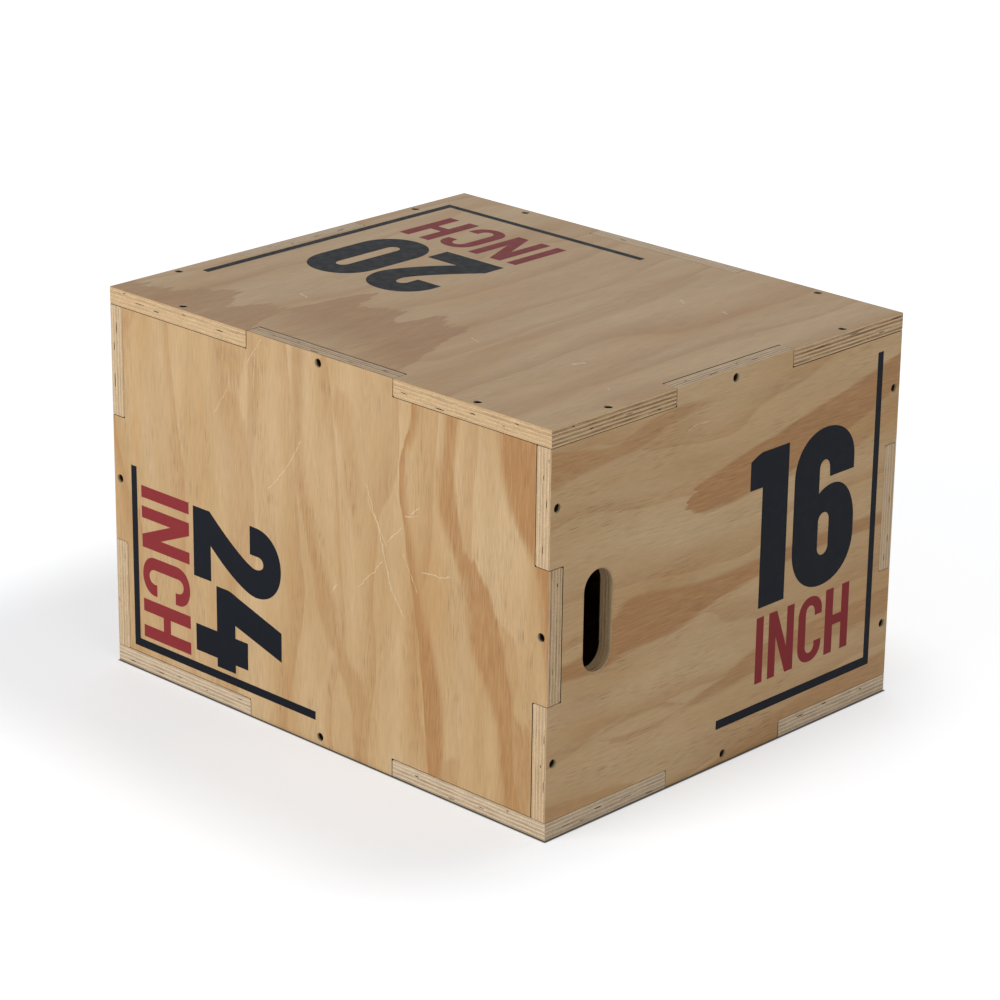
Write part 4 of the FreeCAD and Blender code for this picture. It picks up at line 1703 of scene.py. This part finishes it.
    def recessed(self, tree: NodeTree, sizes: NodeOutputs, screw: NodeSocket) -> NodeSocket:
        """Cut the cross recess into the head."""
        double = add_node(tree, "ShaderNodeMath", (sizes["recess_depth"], 2.0), operation="MULTIPLY")
        span, width = sizes["recess_span"], sizes["recess_width"]
        lift = add_node(tree, "ShaderNodeCombineXYZ", {"Z": sizes["head_height"]})
        cut = add_node(
            tree, "GeometryNodeMeshBoolean", {"Mesh 1": screw}, operation="DIFFERENCE", solver="EXACT"
        )
        for x, y in ((span, width), (width, span)):
            size = add_node(tree, "ShaderNodeCombineXYZ", (x, y, double))
            arm = add_node(tree, "GeometryNodeMeshCube", {"Size": size})
            arm = add_node(tree, "GeometryNodeTransform", {"Geometry": arm, "Translation": lift})
            tree.links.new(arm, cut.node.inputs["Mesh 2"])
        return cut


@dataclass(frozen=True)
class Lamp:
    """A square soft light that looks at the box: where it hangs, how wide it is, and its power in watts."""

    name: str
    place: tuple[float, float, float]
    width: float
    power: float

    def hang(self, target: Vector) -> None:
        """Hang the light so that it looks at a point, in metres."""
        data = bpy.data.lights.new(self.name, "AREA")
        data.shape = "SQUARE"
        data.size = self.width * MM
        data.energy = self.power
        lamp = add_object(self.name, data)
        lamp.location = Vector(self.place) * MM
        lamp.rotation_mode = "QUATERNION"
        lamp.rotation_quaternion = (target - lamp.location).to_track_quat("-Z", "Y")


@dataclass(frozen=True)
class WhitePaper:
    """Matt white paper: it looks white to the camera, and still takes the shadow of the box, with a painted
    shadow added near it.
    """

    colour: str = "#DADDE2"
    roughness: float = 0.9
    gloss: float = 0.1
    # The glow is weaker near the box, more so to its left and front, which paints a soft shadow there
    glow: tuple[float, float] = (0.44, 0.66)
    glow_reach: tuple[float, float] = (40.0, 230.0)
    glow_shift: tuple[float, float] = (-100.0, -60.0)
    far_reach: tuple[float, float] = (700.0, 3500.0)
    touch: float = 2.8
    touch_shift: tuple[float, float] = (1.2, -1.0)
    touch_shade: float = 0.06

    def material(self) -> Material:
        """Make the paper's material."""
        material, tree = new_material("white_paper")
        # Close to the box the paper lies in its shade, which leaves a thin dark line where they touch
        near = self.beside(tree, self.touch_shift)
        shade = add_node(
            tree, "ShaderNodeMapRange", (near, 0.0, self.touch, self.touch_shade, 1.0),
            interpolation_type="SMOOTHSTEP",
        )
        glow = self.seen_glow(tree)
        glow = add_node(tree, "ShaderNodeMath", (glow, shade), operation="MULTIPLY")
        colour = add_node(
            tree, "ShaderNodeMix", {SHARE: 1.0, UNDER: linear(self.colour), OVER: shade}, BLEND,
            data_type="RGBA", blend_type="MULTIPLY",
        )
        shader = add_node(
            tree, "ShaderNodeBsdfPrincipled",
            {
                "Base Color": colour, "Roughness": self.roughness, "Specular IOR Level": self.gloss,
                "Emission Color": (1, 1, 1, 1), "Emission Strength": glow,
            },
        )
        add_node(tree, "ShaderNodeOutputMaterial", (shader,), None)
        return material

    def seen_glow(self, tree: NodeTree) -> NodeSocket:
        """A glow for the camera, reflections and clear things alone, which grows away from the box, so that
        it paints a soft shadow near it.
        """
        rays = add_node(tree, "ShaderNodeLightPath", out="Is Camera Ray")
        path = rays.node.outputs
        for kind in ("Is Glossy Ray", "Is Transmission Ray"):
            rays = add_node(tree, "ShaderNodeMath", (rays, path[kind]), operation="MAXIMUM")
        far = self.beside(tree, self.glow_shift)
        # Painted shadow: less glow close to the box, measured from a footprint shifted to the left and
        # front
        glow = add_node(
            tree, "ShaderNodeMapRange", (far, *self.glow_reach, *self.glow), interpolation_type="SMOOTHSTEP"
        )
        # The lamps don't reach far, so the paper glows more there
        lift = add_node(tree, "ShaderNodeMapRange", (far, *self.far_reach, 0.0, 1.0 - self.glow[1]))
        glow = add_node(tree, "ShaderNodeMath", (glow, lift), operation="ADD")
        return add_node(tree, "ShaderNodeMath", (glow, rays), operation="MULTIPLY")

    def beside(self, tree: NodeTree, shift: tuple[float, float]) -> NodeSocket:
        """How far a place lies outside the box's footprint, or outside a shifted copy of it."""
        low, high = CAD_BOX
        middle, half = (low + high) / 2, (high - low) / 2
        part = add_node(tree, "ShaderNodeTexCoord", out="Object")
        moved = add_node(tree, "ShaderNodeMapping", {"Vector": part, "Location": (-middle.x, -middle.y, 0)})
        moved = add_node(tree, "ShaderNodeVectorMath", (moved, (1 / MM, 1 / MM, 0)), operation="MULTIPLY")
        moved = add_node(tree, "ShaderNodeVectorMath", (moved, (*shift, 0)), operation="SUBTRACT")
        folded = add_node(tree, "ShaderNodeVectorMath", (moved,), operation="ABSOLUTE")
        reach = (half.x / MM, half.y / MM, 0)
        past = add_node(tree, "ShaderNodeVectorMath", (folded, reach), operation="SUBTRACT")
        past = add_node(tree, "ShaderNodeVectorMath", (past, (0, 0, 0)), operation="MAXIMUM")
        return add_node(tree, "ShaderNodeVectorMath", (past,), "Value", operation="LENGTH")


@dataclass
class Studio:
    """A white floor, soft light and the camera, which looks as the photograph does."""

    paper: WhitePaper
    floor_reach: float = 30000.0
    floor_segments: int = 64
    room_glow: float = 0.25
    lamps: tuple[Lamp, ...] = (
        Lamp("key", (-750, -3600, 1320), 2800, 85.0),
        Lamp("fill", (3400, -900, 1500), 2400, 25.0),
        Lamp("rim", (700, 3400, 1900), 2600, 24.0),
        Lamp("sheen", (-2700, 2850, 1900), 3000, 22.5),
    )
    azimuth: float = 43.744
    elevation: float = 20.398
    roll: float = 0.740
    distance: float = 3621.4
    aside: tuple[float, float] = (1.2, 9.7)
    focal_pixels: float = 3562.2
    picture_pixels: float = 1000.0
    sensor: float = 36.0

    def build(self) -> None:
        """Set the stage."""
        self.lay_floor()
        self.light()
        self.aim()
        bpy.context.scene.view_settings.view_transform = "Standard"

    def lay_floor(self) -> None:
        """Lay the floor."""
        shape = bmesh.new()
        bmesh.ops.create_circle(
            shape, cap_ends=True, segments=self.floor_segments, radius=self.floor_reach * MM
        )
        mesh = bpy.data.meshes.new("studio_floor")
        shape.to_mesh(mesh)
        shape.free()
        mesh.materials.append(self.paper.material())
        floor = add_object("studio_floor", mesh)
        floor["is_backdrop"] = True

    def light(self) -> None:
        """Hang the lights in a pale room."""
        world = bpy.data.worlds.new("pale_room")
        world.use_nodes = True
        room = world.node_tree.nodes["Background"].inputs
        room["Color"].default_value = (1, 1, 1, 1)
        room["Strength"].default_value = self.room_glow
        bpy.context.scene.world = world
        low, high = CAD_BOX
        for lamp in self.lamps:
            lamp.hang((low + high) / 2)

    def aim(self) -> None:
        """Set up the camera at the photograph's angle."""
        around, up_by, roll = (math.radians(angle) for angle in (self.azimuth, self.elevation, self.roll))
        flat, rise = math.cos(up_by), math.sin(up_by)
        back = Vector((math.sin(around) * flat, -math.cos(around) * flat, rise))
        right = Vector((math.cos(around), math.sin(around), 0))
        up = back.cross(right)
        level, tilt = math.cos(roll), math.sin(roll)
        right, up = right * level + up * tilt, up * level - right * tilt
        low, high = CAD_BOX
        centre = (low + high) / 2
        data = bpy.data.cameras.new("camera")
        data.sensor_width = self.sensor
        data.lens = self.focal_pixels * self.sensor / self.picture_pixels
        data.clip_end = 2 * self.floor_reach * MM
        camera = add_object("camera", data)
        turn = Matrix((right, up, back)).transposed().to_4x4()
        place = centre + (back * self.distance - right * self.aside[0] - up * self.aside[1]) * MM
        camera.matrix_world = Matrix.Translation(place) @ turn
        bpy.context.scene.camera = camera


def write_sizes() -> None:
    """Work out the box of the solids and the box of what is shown, and keep neither."""
    boxes = {"cad": CAD_BOX, "visual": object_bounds()}
    {name: [list(corner) for corner in box] for name, box in boxes.items()}


def main() -> None:
    """Build the box piece by piece, then the studio."""
    logging.basicConfig(level=logging.INFO, format="%(name)s: %(message)s")
    screws = ScrewSet(ScrewSteel().material())
    screws.build()
    bores = tuple((seat, out) for _, seat, out in screws.places)
    plywood = Plywood()
    # Painted shade for the walls of the gaps and voids, and for the bores painted shade below a pale
    # painted highlight; the top's copy has a smaller, duller painted highlight, as the light there already
    # brightens its bores
    gap = ShadedHollow("shaded_gap_wood", "#2A1F15", "#4A3A2A", 0.8)
    bore = ShadedHollow("shaded_bore_wood", "#3A2C1E", "#EBD6B0", 2.3)
    top_bore_shade = ShadedHollow("shaded_bore_wood", "#2A2018", "#DCC8A6", 1.0)
    for side in Side:
        Board(side, plywood, gap, top_bore_shade if side is Side.TOP else bore, bores).build()
    navy = Ink("navy_screen_ink", "#0E131C", "#1B212B").material()
    red = Ink("red_screen_ink", "#903235", "#994244").material()
    HeightPrint(
        Side.FRONT, Turn.CLOCKWISE,
        (Mark("2", (120.5, 201.5, 250, 277.5)), Mark("4", (122.5, 280, 250, 367.5))),
        Mark("INCH", (41.5, 201.5, 114, 367.5)),
        ruled_corner((26.5, 381), (298.5, 183.5), (9, 8.5)), navy, red,
    ).build()
    HeightPrint(
        Side.RIGHT, Turn.UPRIGHT,
        (Mark("1", (281, 94.5, 338.5, 257.5)), Mark("6", (348.5, 92, 443, 259))),
        Mark("INCH", (298.5, 267.5, 442.5, 337.5)),
        ruled_corner((479.5, 368.5), (242, 33.5), (9.5, 8.5)), navy, red,
    ).build()
    HeightPrint(
        Side.TOP, Turn.UPSIDE_DOWN,
        (Mark("2", (148, 176, 231, 317.5)), Mark("0", (61.5, 174, 143, 317.5))),
        Mark("INCH", (60.5, 83, 231, 160)),
        ruled_corner((22.5, 46), (308, 404), (8, 9)), navy, red,
    ).build()
    Studio(WhitePaper()).build()
    write_sizes()


if __name__ == "__main__":
    main()
